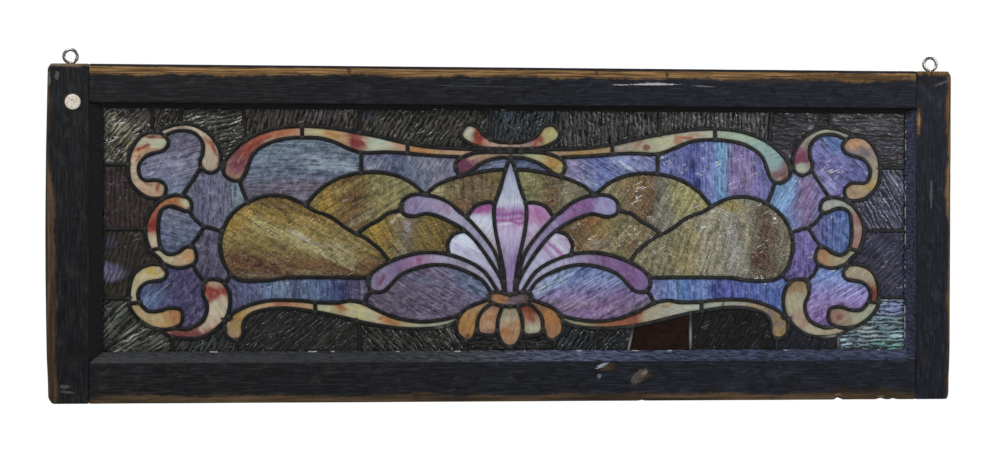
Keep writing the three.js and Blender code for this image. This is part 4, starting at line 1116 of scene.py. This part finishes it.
def build_pane(name, kind, at, grain, direction, stops, patches, seed):
    """One pane of glass with its own colours, its outline carried under the leads."""
    chosen = tris[region == region_at(AXIS_X + PATTERN_STRETCH * at[0], at[1])]
    used, faces = np.unique(chosen, return_inverse=True)
    faces = faces.reshape(-1, 3)
    p, away_mm = flat[used], away[used]
    a, b, c = p[faces[:, 0]], p[faces[:, 1]], p[faces[:, 2]]
    turn = (b[:, 0] - a[:, 0]) * (c[:, 1] - a[:, 1]) - (c[:, 0] - a[:, 0]) * (b[:, 1] - a[:, 1])
    faces[turn < 0] = faces[turn < 0][:, ::-1]
    edges = outline(faces)
    push = np.zeros_like(p)
    for u, v in edges:
        d = p[v] - p[u]
        outward = np.array([-d[1], d[0]]) / (np.linalg.norm(d) + 1e-9)
        push[u] += outward
        push[v] += outward
    p = p + UNDER_LEAD * push / np.maximum(np.linalg.norm(push, axis=1, keepdims=True), 0.5)
    x, z = p[:, 0], p[:, 1]
    rgb = pane_colour(kind, x, z, away_mm, seed, direction, stops, patches)
    relief = pane_relief(kind, x, z, away_mm, seed, grain)
    n = len(p)
    front = np.stack([x, GLASS_FRONT + relief, z], 1)
    back = np.stack([x, np.full(n, GLASS_BACK) + 0.3 * relief, z], 1)
    all_faces = faces.tolist() + (faces[:, ::-1] + n).tolist()
    all_faces += [[v, u, u + n, v + n] for u, v in edges]
    glint = [glint_strength(kind, x.mean(), z.mean())] * n + [0.0] * n
    return make_object(name, np.concatenate([front, back]), all_faces,
                       glass_material(kind, grain), np.concatenate([rgb, rgb]), {"glint": glint})


number = 0
for kind, rows in PANES.items():
    for node, x, z, grain, direction, stops, patches in rows:
        pane = build_pane(f"pane_{node}_{number}", kind, (x, z), grain, direction, stops, patches,
                          number * 3.7)
        place(pane, node)
        number += 1
for number, (kind, x, z, grain, tone, patches) in enumerate(BORDER_PANES):
    pane = build_pane(f"pane_border_{number}", kind, (x, z), grain, 0, f"0:{tone}", patches,
                      200 + number * 5.3)
    place(pane, "border")

# ------------------------------------------------------------------ leading

# One face of a came's section: distance from the middle, depth below the crown and how much
# of the crown it is, which is painted greyer, partly as wear and partly as a painted highlight.
CROWN_EDGE, CORE = CAME_W / 2 - 0.4, 0.7
CROWN = [(-CROWN_EDGE, 1.35, 0), (-2.2, 0.55, 0.1), (-1.2, 0.12, 0.7), (0, 0, 1),
         (1.2, 0.12, 0.7), (2.2, 0.55, 0.1), (CROWN_EDGE, 1.35, 0)]
SECTION = ([(u, CAME_FRONT + depth, c) for u, depth, c in CROWN]
           + [(CORE, CAME_FRONT + 1.5, 0), (CORE, CAME_BACK - 1.5, 0)]
           + [(u, CAME_BACK - depth, c) for u, depth, c in reversed(CROWN)]
           + [(-CORE, CAME_BACK - 1.5, 0), (-CORE, CAME_FRONT + 1.5, 0)])

# Areas where the leads are pale: x from the axis, z, half width, half height, turn.
PALE_LEADS = [(-500, -128, 34, 14, 0), (-88, -135, 16, 22, 0), (159, -142, 8, 22, 0),
              (243, -136, 8, 22, 0), (-86, 150, 12, 16, 0), (170, 148, 14, 16, 0),
              (438, -140, 16, 18, 0)]


def thin(line, tolerance, longest):
    """The points a line needs at a chord tolerance and a longest step."""
    keep, start = [0], 0
    for i in range(2, len(line)):
        span = line[i] - line[start]
        size = np.linalg.norm(span) + 1e-9
        off = line[start + 1:i] - line[start]
        bulge = np.abs(span[0] * off[:, 1] - span[1] * off[:, 0]).max() / size
        if size > longest or bulge > tolerance:
            start = i - 1
            keep.append(start)
    return line[keep + [len(line) - 1]]


def add_came(shell, line, closed, seed):
    """An H section swept along a line, uneven in width and height."""
    line = thin(line, 0.07, 5.5)
    if closed and np.linalg.norm(line[0] - line[-1]) < 0.4:
        line = line[:-1]
    base = len(shell.verts)
    tangent = np.roll(line, -1, 0) - np.roll(line, 1, 0) if closed else np.gradient(line, axis=0)
    tangent /= np.linalg.norm(tangent, axis=1, keepdims=True) + 1e-9
    s = np.concatenate([[0], np.cumsum(np.linalg.norm(np.diff(line, axis=0), axis=1))])
    same = s * 0 + seed
    wide = 1 + 0.10 * lattice_noise(s / 13, same, 3)
    lift = 0.16 * lattice_noise(s / 9, same, 8) + 0.10 * lattice_noise(s / 30, s * 0, seed)
    for (x, z), (tx, tz), w, h in zip(line, tangent, wide, lift):
        light = max(0.0, *(1 - min(in_patch(x, z, patch), 1) for patch in PALE_LEADS))
        for u, y, crown in SECTION:
            outward = -0.5 if y < (CAME_FRONT + CAME_BACK) / 2 else 0.5
            on_flange = crown > 0 or abs(u) > 1
            shell.point(x - tz * u * w, y + outward * h * on_flange, z + tx * u * w,
                        crown=crown, light=light)
    shell.faces += tube_faces(len(line), len(SECTION), base, closed)


def add_solder(shell, x, z, seed):
    """A flattened lump of solder on the front and back of a joint."""
    size, m = 3.05 + 0.5 * math.sin(seed * 7.3), 10
    for y, outward in ((CAME_FRONT, -1), (CAME_BACK, 1)):
        base = len(shell.verts)
        for r, h in ((1.0, -0.9), (0.85, 0.1), (0.5, 0.5)):
            for k in range(m):
                a = k * math.pi / 5
                reach = size * r * (1 + 0.16 * math.sin(3 * a + seed) + 0.1 * math.sin(2 * a + 2 * seed))
                shell.point(x + reach * math.cos(a), y + outward * h * 0.55,
                            z + reach * math.sin(a), crown=0.2 + 0.5 * (h > 0), light=0.1)
        shell.point(x, y + outward * 0.36, z, crown=0.7, light=0.1)
        top = base + 2 * m
        faces = tube_faces(3, m, base)[:-1]
        faces += [(top + k, top + (k + 1) % m, top + m) for k in range(m)]
        shell.faces += faces if outward < 0 else turned_over(faces)


leading = Shell()
for number, item in enumerate(lines):
    add_came(leading, item["line"], item["closed"], number * 1.7)
for number, (x, z) in enumerate(joints):
    add_solder(leading, x, z, number * 1.3)
leading.build("leading", lead_material(), "lead", "lead_lattice")

# ------------------------------------------------------------------ wood

# Hollows in the face: x from the axis, z, half length, half width, turn, depth.
DENTS = [(126, -175, 11, 2.6, 24, 1.6), (176, -188, 13, 5.5, 50, 1.6), (563, -151, 4, 2.6, 60, 1.6),
         (585, -146, 3, 2.4, 0, 1.5), (567, -183, 3, 2.4, 0, 1.5), (560, 152, 4, 14, 6, 1.4),
         (196, 200, 40, 1.4, 1, 0.4), (-40, 196, 60, 1.2, -1, 0.25), (300, -190, 50, 1.2, 1, 0.3),
         (-200, -188, 90, 1.1, 0.5, 0.25), (443, -219, 4, 3.5, 0, 3.0), (500, -218, 5, 2.5, 0, 1.6),
         (518, -219, 4, 2.2, 0, 1.5), (-598, -40, 3, 20, 0, 0.9), (598, 90, 2.5, 14, 0, 1.0),
         (-560, -120, 1.2, 26, 4, 0.35), (572, 20, 1.1, 30, -3, 0.35)]

# Bites out of the bottom edge: x, half width, depth.
BITES = [(447, 6, 4.2), (505, 7, 2.0), (522, 5, 1.8), (180, 4, 1.2)]

# Bare chips in the paint of the rails: x from the axis, z, half height.
CHIPS = [(448, -214, 6), (503, -215, 9), (520, -216, 7), (128, -176, 4), (176, -188, 5)]

# Marks on the paint: x, z, half length, half width, turn, colour, amount.
STILE_MARKS = [(-577, -199, 7, 2.5, 4, "83837c", 0.35), (-575, -206, 9, 1.6, -6, "83837c", 0.35),
               (573, 60, 2, 22, 0, "83837c", 0.35), (-588, 205, 3, 6, 0, "83837c", 0.35),
               (-576, 219, 26, 1.6, 0, "83837c", 0.35), (-598, 200, 2, 12, 0, "83837c", 0.35),
               (586, 205, 10, 2, 20, "83837c", 0.35)]
RAIL_MARKS = [(195, 200.5, 34, 1.1, 0.6, "c9cac6", 0.95), (150, 199.5, 12, 0.9, 0, "b9bab6", 0.8),
              (195, 201.5, 18, 1.8, 0, "b9bab8", 0.7), (262, 198.5, 16, 0.7, -3, "9c9c98", 0.6),
              (126, -174, 9, 2.2, 24, "b4b8c6", 0.9), (122, -188, 3, 3, 60, "9498a4", 0.5),
              (176, -188, 14, 6.5, 50, "5f594f", 0.85), (183, -184, 5, 2.5, 30, "8a8172", 0.7),
              (470, 212, 84, 5, 0, "45341f", 0.6), (446, -215, 5, 1.4, 0, "8c8270", 0.6),
              (505, -217, 5, 1.0, 0, "8c8472", 0.6), (-40, 196, 60, 0.6, -1, "55575c", 0.5),
              (350, 206, 70, 3, 0, "3c2c20", 0.6), (-210, 215, 3, 6, 0, "4a3620", 0.8),
              (118, 216, 2, 7, 0, "4a3018", 0.8), (212, 214, 2.5, 6, 0, "4a3018", 0.8)]


def wander(x, z):
    """The uneven course of worn edges, from -1 to 1."""
    return float(cloud(x, z, 60, 31, 3))


def ramp(a, b, v):
    return float(smooth(a, b, v))


# The next functions say how far inside bare wood a point of the face lies, in mm, below 0
# where the paint is whole.

def top_end_bare(x, z):
    return 3.5 + 3.5 * wander(x, 17) - (HALF_H - z)


def stile_left_bare(x, z):
    side = 12 + 6 * wander(0, z) - (x + HALF_W) - 8 * ramp(30, 90, z)
    return max(side, top_end_bare(x, z))


def stile_right_bare(x, z):
    side = 5 + 6 * wander(9, z) + 3 * ramp(-20, 60, z) - (HALF_W - x)
    arris = 3.5 - abs(x - 555) * 1.2 - abs(z - 156) * 0.14 if 128 < z < 186 else -9
    low_chip = 1 - math.hypot((x - 566) / 2, (z + 168) / 4)
    return max(side, arris, low_chip, top_end_bare(x, z) + 1)


def rail_bare(x, z):
    depth = HALF_H - abs(z)
    if z <= 0:
        strip = 10.5 + 5 * wander(x, 5) - depth
    elif not -548 < x < 552:
        strip = -8.0
    else:
        # Along the top rail the outermost 2.4 mm or so stays dark paint, a painted shade along its rounded
        # top edge.
        strip = 13.5 + 4 * wander(x, 0) - depth if depth > 2.4 + wander(x, 7) else -6
    chip = max(r - math.hypot((x - AXIS_X - cx) / 2.2, z - cz) for cx, cz, r in CHIPS)
    return max(strip, chip)


def pale_wood(x, z):
    """How pale the bare wood is, from 0 to 1."""
    if z > HALF_H - 24 and -548 < x < 552:
        return 0.75
    if z > HALF_H - 8:
        return 0.5
    if x > 585:
        return 0.45 if z > 0 else 0.2
    if abs(x - 555) < 6 and 110 < z < 190:
        return 0.9
    return 0.0


def stile_radii(s):
    """Radii of a stile's four long edges at a height; the outer front one is the worn one."""
    wear = 1.8 + wander(3, s) + 4.0 * ramp(-150, -200, s) + 5.5 * ramp(HALF_H - 10, HALF_H, abs(s))
    return max(0.8, min(8.0, wear)), 0.7, 1.2, 2.0


def rail_radii(s):
    return max(0.8, 2.2 + wander(s, 3)), 0.7, 1.2, 1.8


def lip_radii(s):
    return 0.5, 0.6, 1.0, 0.5


def rounded_section(a0, a1, y0, y1, radii):
    """Outline of a bar's section; radii are at (a0,y0) (a1,y0) (a1,y1) (a0,y1)."""
    middles = ((a0 + radii[0], y0 + radii[0]), (a1 - radii[1], y0 + radii[1]),
               (a1 - radii[2], y1 - radii[2]), (a0 + radii[3], y1 - radii[3]))
    arcs = []
    for quarter, ((a, y), r) in enumerate(zip(middles, radii)):
        turns = [math.radians(180 + 90 * quarter + 22.5 * k) for k in range(5)]
        arcs.append([(a + r * math.cos(t), y + r * math.sin(t)) for t in turns])
    points = []
    for i, length in enumerate((a1 - a0, y1 - y0, a1 - a0, y1 - y0)):
        points += arcs[i]
        p, q = arcs[i][-1], arcs[(i + 1) % 4][0]
        steps = max(1, int(length / WOOD_STEP))
        points += [(p[0] + (q[0] - p[0]) * k / steps, p[1] + (q[1] - p[1]) * k / steps)
                   for k in range(1, steps)]
    return points


def bar_rows(lower, upper, box, radii_at, soft_end):
    """Rings (a, y, s) of a bar along s with rounded edges and softened ends."""
    a0, a1, y0, y1 = box
    steps = max(4, int((upper - lower) / WOOD_STEP))
    places = {lower, lower + soft_end * 0.3, lower + soft_end,
              upper - soft_end, upper - soft_end * 0.3, upper}
    places |= {lower + (upper - lower) * k / steps for k in range(1, steps)}
    middle_a, middle_y = (a0 + a1) / 2, (y0 + y1) / 2
    rows = []
    for s in sorted({round(s, 4) for s in places}):
        d = max(0.0, min(s - lower, upper - s)) / soft_end
        draw = soft_end * (1 - math.sqrt(1 - (1 - d) ** 2)) if d < 1 else 0.0
        ka, ky = 1 - draw / ((a1 - a0) / 2), 1 - draw / ((y1 - y0) / 2)
        rows.append([(middle_a + (a - middle_a) * ka, middle_y + (y - middle_y) * ky, s)
                     for a, y in rounded_section(a0, a1, y0, y1, radii_at(s))])
    return rows


def dented(x, z):
    """How far the face stands back at a point."""
    back = 0.10 * lattice_noise(x / 34, z / 34, 4) + 0.05 * lattice_noise(x / 7, z / 7, 9)
    for *patch, depth in DENTS:
        reach = patch[2] + patch[3] + 6
        if max(abs(x - AXIS_X - patch[0]), abs(z - patch[1])) <= reach:
            d = in_patch(x, z, patch) + 0.25 * float(lattice_noise(x / 2.5, z / 2.5, 21))
            back += depth * max(0.0, 1 - d * d)
    return back


def worn_outline(x, z, a, upright):
    """The point moved for the rounded corners, the bowed left edge and the bitten bottom."""
    if not upright:
        if z < -HALF_H + 6:
            bitten = sum(depth * max(0, 1 - abs(x - bx) / half) for bx, half, depth in BITES)
            z += (1 - (z + HALF_H) / 6) * bitten
        return x, z
    r = 5.0 if x > 0 else (9.0 if z < 0 else 6.0)
    over_x, over_z = abs(x) - HALF_W + r, abs(z) - HALF_H + r
    if over_x > 0 and over_z > 0:
        k = max(over_x, over_z) / math.hypot(over_x, over_z)
        x = math.copysign(HALF_W - r + over_x * k, x)
        z = math.copysign(HALF_H - r + over_z * k, z)
    if x < 0 and a < 20:
        x -= (3.4 * math.cos(z / 150) - 0.6) * (1 - a / 20)
    return x, z


# The paint of the two upright members, then of the two level ones.
WOOD = {True: wood_material("wood_stile", 90, STILE_MARKS),
        False: wood_material("wood_rail", 0, RAIL_MARKS)}


def member(node, upright, width, lip, to_xz, bare_at):
    """A stile or rail: a worn bar with the rebate's lip behind; a is measured from outside."""
    span = (-HALF_H, HALF_H) if upright else (X_LEFT + 0.3, X_RIGHT - 0.3)
    lip_span = (Z_BOTTOM + 0.2, Z_TOP - 0.2) if upright else (
        X_LEFT + LIP_LEFT + 0.2, X_RIGHT - LIP_RIGHT - 0.2)
    shell = Shell()
    for (lower, upper), box, radii_at, soft_end in (
            (span, (0, width, FRONT, BACK), stile_radii if upright else rail_radii, 1.6),
            (lip_span, (width - 3, width + lip, LIP_FRONT, BACK), lip_radii, 0.3)):
        rows = bar_rows(lower, upper, box, radii_at, soft_end)
        shell.faces += tube_faces(len(rows), len(rows[0]), len(shell.verts))
        for a, y, s in (point for row in rows for point in row):
            x, z = to_xz(a, s)
            y += dented(x, z) * (1 - min(max((y - FRONT) / 6, 0), 1))
            x, z = worn_outline(x, z, a, upright)
            bare = bare_at(x, z)
            if y > FRONT + 2.5:
                outside = min(abs(abs(x) - HALF_W), abs(abs(z) - HALF_H)) < 2.5
                bare = 4.0 - (y - FRONT) * 0.12 if outside else -9
            shell.point(x, y, z, bare=bare, pale=pale_wood(x, z))
    shell.build(f"{node}_wood", WOOD[upright], "wood", node)


member("stile_left", True, STILE_LEFT, LIP_LEFT, lambda a, s: (a - HALF_W, s), stile_left_bare)
member("stile_right", True, STILE_RIGHT, LIP_RIGHT, lambda a, s: (HALF_W - a, s), stile_right_bare)
member("rail_top", False, RAIL_TOP, LIP_TOP, lambda a, s: (s, HALF_H - a), rail_bare)
member("rail_bottom", False, RAIL_BOTTOM, LIP_BOTTOM, lambda a, s: (s, a - HALF_H), rail_bare)

# ------------------------------------------------------------------ putty

BEAD_HIGH, BEAD_LOW = FRONT + 2.2, CAME_FRONT - 0.3

# Corners of the opening and of the rebate's inner edge, anticlockwise from the bottom left.
OUTER = [(X_LEFT, Z_BOTTOM), (X_RIGHT, Z_BOTTOM), (X_RIGHT, Z_TOP), (X_LEFT, Z_TOP)]
INNER = [(X_LEFT + LIP_LEFT, Z_BOTTOM + LIP_BOTTOM), (X_RIGHT - LIP_RIGHT, Z_BOTTOM + LIP_BOTTOM),
         (X_RIGHT - LIP_RIGHT, Z_TOP - LIP_TOP), (X_LEFT + LIP_LEFT, Z_TOP - LIP_TOP)]

# Pale specks on the bottom bead: x from the axis and three times the half width.
SPECKS = [(-390, 14), (-300, 5), (-262, 16), (-236, 9), (-150, 6), (-70, 12), (20, 4), (92, 9),
          (168, 14), (214, 8), (372, 6), (452, 12), (498, 5)]


def putty_speck(name, x, z):
    """How pale the inner edge of a bead is, in small pale specks."""
    if name == "bottom":
        on_speck = any(abs(x - AXIS_X - middle) < size / 3 for middle, size in SPECKS)
        return 0.8 * (on_speck and lattice_noise(x / 2.5, 0, 77) > -0.5)
    if name == "top":
        on_speck = -106 < x < -80 or -12 < x < 12
        return 1.0 * (on_speck and lattice_noise(x / 3, 0, 78) > 0.0)
    return 0.55 * (name == "right" and lattice_noise(x / 4, z / 4, 79) > 0.3)


def putty_sheen(name, x):
    """How much light a bead catches; the bottom one catches most near its middle."""
    if name == "bottom":
        return min(1.0, max(0.45, 1.5 * (1 - abs(x - 10) / 260)))
    return 0.3 if name == "right" else 0.0


def putty_strip(name, number, material):
    """An uneven bead that slopes from the wood down to the leads along one side."""
    a, b = np.array(OUTER[number]), np.array(OUTER[(number + 1) % 4])
    c, d = np.array(INNER[number]), np.array(INNER[(number + 1) % 4])
    steps, columns = int(np.linalg.norm(b - a) / PUTTY_STEP), 9
    ragged = 0.55 if name == "top" else 1.1
    shell = Shell()
    for t in (r / steps for r in range(steps + 1)):
        p, q = a + (b - a) * t, c + (d - c) * t
        for k in range(columns + 1):
            w, speck = k / columns, 0.0
            hump = math.sin(math.pi * w)
            x, z = p + (q - p) * w
            y = BEAD_HIGH + (BEAD_LOW - 1.2 - BEAD_HIGH) * w + 0.9 * hump
            y -= 0.5 * float(cloud(x, z, 14, 60 + number, 3)) * hump ** 0.5
            if k == columns:
                shift = ragged * float(cloud(x, z, 9, 50 + number, 2))
                x, z = (x, z) + (q - p) / (np.linalg.norm(q - p) + 1e-9) * shift
                speck = putty_speck(name, x, z)
            shell.point(x, y, z, speck=speck, sheen=putty_sheen(name, x))
        for x, z in (q, p):
            shell.point(x, BEAD_LOW, z, speck=0.0, sheen=0.0)
    shell.faces = turned_over(tube_faces(steps + 1, columns + 3))
    shell.build(f"putty_{name}", material, "putty", f"bead_{name}")


putty = putty_material()
for number, name in enumerate(("bottom", "right", "top", "left")):
    putty_strip(name, number, putty)

# ------------------------------------------------------------------ screw eyes and tack

# Radius and height of the tack's profile from the wood in, then how black it is; the black outer ring is a
# painted shadow round the tack.
TACK_PROFILE = [(TACK_R + 2.0, -0.2, 1), (TACK_R + 2.0, 0.25, 1), (TACK_R + 0.2, 0.45, 1),
                (TACK_R - 0.3, 0.5, 1), (TACK_R - 0.7, 1.0, 0), (TACK_R - 1.6, 1.35, 0),
                (6.5, 1.1, 0), (3.0, 1.25, 0)]


def wire_path(centre_x, turn):
    """Points about 1 mm apart up the shank and round the ring, whose tip bends back."""
    path = [(centre_x, 0.0, HALF_H - EYE_SHANK), (centre_x, 0.0, HALF_H - 1.5)]
    for k in range(41):
        a = math.radians(-90 + turn * (348 * k / 40))
        bend = 1.3 * max(0.0, (k - 30) / 10) ** 2
        path.append((centre_x + EYE_RING_R * math.cos(a), bend, EYE_Z + EYE_RING_R * math.sin(a)))
    points = []
    for p, q in zip(path, path[1:]):
        count = max(1, int(math.dist(p, q)))
        points += [[p[i] + (q[i] - p[i]) * k / count for i in range(3)] for k in range(count)]
    return np.array(points + [path[-1]])


def bent_wire(name, node, centre_x, turn, material):
    """A wire ring with a small opening beside the shank, and a tapered shank."""
    points, m = wire_path(centre_x, turn), 16
    tangent = np.gradient(points, axis=0)
    tangent /= np.linalg.norm(tangent, axis=1, keepdims=True)
    shell = Shell()
    for i, (p, t) in enumerate(zip(points, tangent)):
        u = np.array([0.0, 1.0, 0.0]) - t * t[1]
        u /= np.linalg.norm(u)
        v = np.cross(t, u)
        r = EYE_WIRE_R + 0.3
        if i < 22 and p[2] < HALF_H:
            r *= 0.55 + 0.45 * min(1, (p[2] - HALF_H + EYE_SHANK) / 6)
        if i < 3 or i >= len(points) - 2:
            r *= 0.75
        for a in (2 * math.pi * k / m for k in range(m)):
            shell.point(*(p + r * (math.cos(a) * u + math.sin(a) * v)))
    shell.faces = tube_faces(len(points), m)
    shell.build(name, material, "steel", node)


steel = wire_material()
bent_wire("eye_left_wire", "screw_eye_left", EYE_X[0], 1, steel)
bent_wire("eye_right_wire", "screw_eye_right", EYE_X[1], -1, steel)

tack, m = Shell(), 48
for r, height, black in TACK_PROFILE:
    for a in (2 * math.pi * k / m for k in range(m)):
        tack.point(TACK_X + r * math.cos(a), FRONT - height, TACK_Z + r * math.sin(a), ring=black)
tack.faces = tube_faces(len(TACK_PROFILE), m)
tack.build("tack_disc", tack_material(), "tack", "tack")

# ------------------------------------------------------------------ floor, light and camera

bpy.ops.mesh.primitive_plane_add(size=8, location=(0, 0, -1.6))
floor = bpy.context.object
floor.name = "floor"
floor.data.materials.append(floor_material())

world = bpy.data.worlds.new("studio")
bpy.context.scene.world = world
world.use_nodes = True
nodes, background = world.node_tree.nodes, world.node_tree.nodes["Background"]
background.inputs["Color"].default_value = (1, 1, 1, 1)
# The sheet behind the window is white to the eye but throws little light on it.
ray = nodes.new("ShaderNodeLightPath")
sky = nodes.new("ShaderNodeMapRange")
sky.inputs["To Min"].default_value = 0.1
sky.inputs["To Max"].default_value = 1.02
world.node_tree.links.new(ray.outputs["Is Camera Ray"], sky.inputs["Value"])
world.node_tree.links.new(sky.outputs["Result"], background.inputs["Strength"])


def soft_light(name, position, target, size, power, tone=(1, 1, 1)):
    data = bpy.data.lights.new(name, "AREA")
    data.shape = "RECTANGLE"
    data.size, data.size_y = size
    data.energy = power
    data.color = tone
    obj = bpy.data.objects.new(name, data)
    bpy.context.scene.collection.objects.link(obj)
    obj.location = position
    obj.rotation_euler = (Vector(target) - Vector(position)).to_track_quat("-Z", "Y").to_euler()


middle = (0, 0, -0.232)
soft_light("key", (-1.4, -1.2, 1.6), middle, (1.0, 0.7), 42)
soft_light("fill", (1.8, -1.5, 0.6), middle, (0.8, 1.0), 19, (0.9, 0.94, 1.0))
soft_light("behind", (0.9, 2.0, 1.2), middle, (1.4, 1.0), 40)
soft_light("glint_right", (1.05, -2.1, 0.35), (0.25, 0, -0.15), (0.05, 0.45), 1.8)
soft_light("glint_left", (-1.3, -2.0, 0.45), (-0.35, 0, -0.15), (0.05, 0.35), 3)

yaw, pitch, roll = math.radians(4.169), math.radians(-0.456), math.radians(0.148)
ahead = Vector((math.sin(yaw) * math.cos(pitch), math.cos(yaw) * math.cos(pitch), math.sin(pitch)))
level = Vector((math.cos(yaw), -math.sin(yaw), 0))
above = level.cross(ahead)
right = math.cos(roll) * level + math.sin(roll) * above
up = math.cos(roll) * above - math.sin(roll) * level
camera_data = bpy.data.cameras.new("camera")
camera_data.sensor_width = 36
camera_data.lens = 59.4
camera = bpy.data.objects.new("camera", camera_data)
bpy.context.scene.collection.objects.link(camera)
matrix = Matrix((right, up, -ahead)).transposed().to_4x4()
matrix.translation = (-0.1694, -2.1972, -0.20815)
camera.matrix_world = matrix
bpy.context.scene.camera = camera
bpy.context.scene.view_settings.view_transform = "Standard"
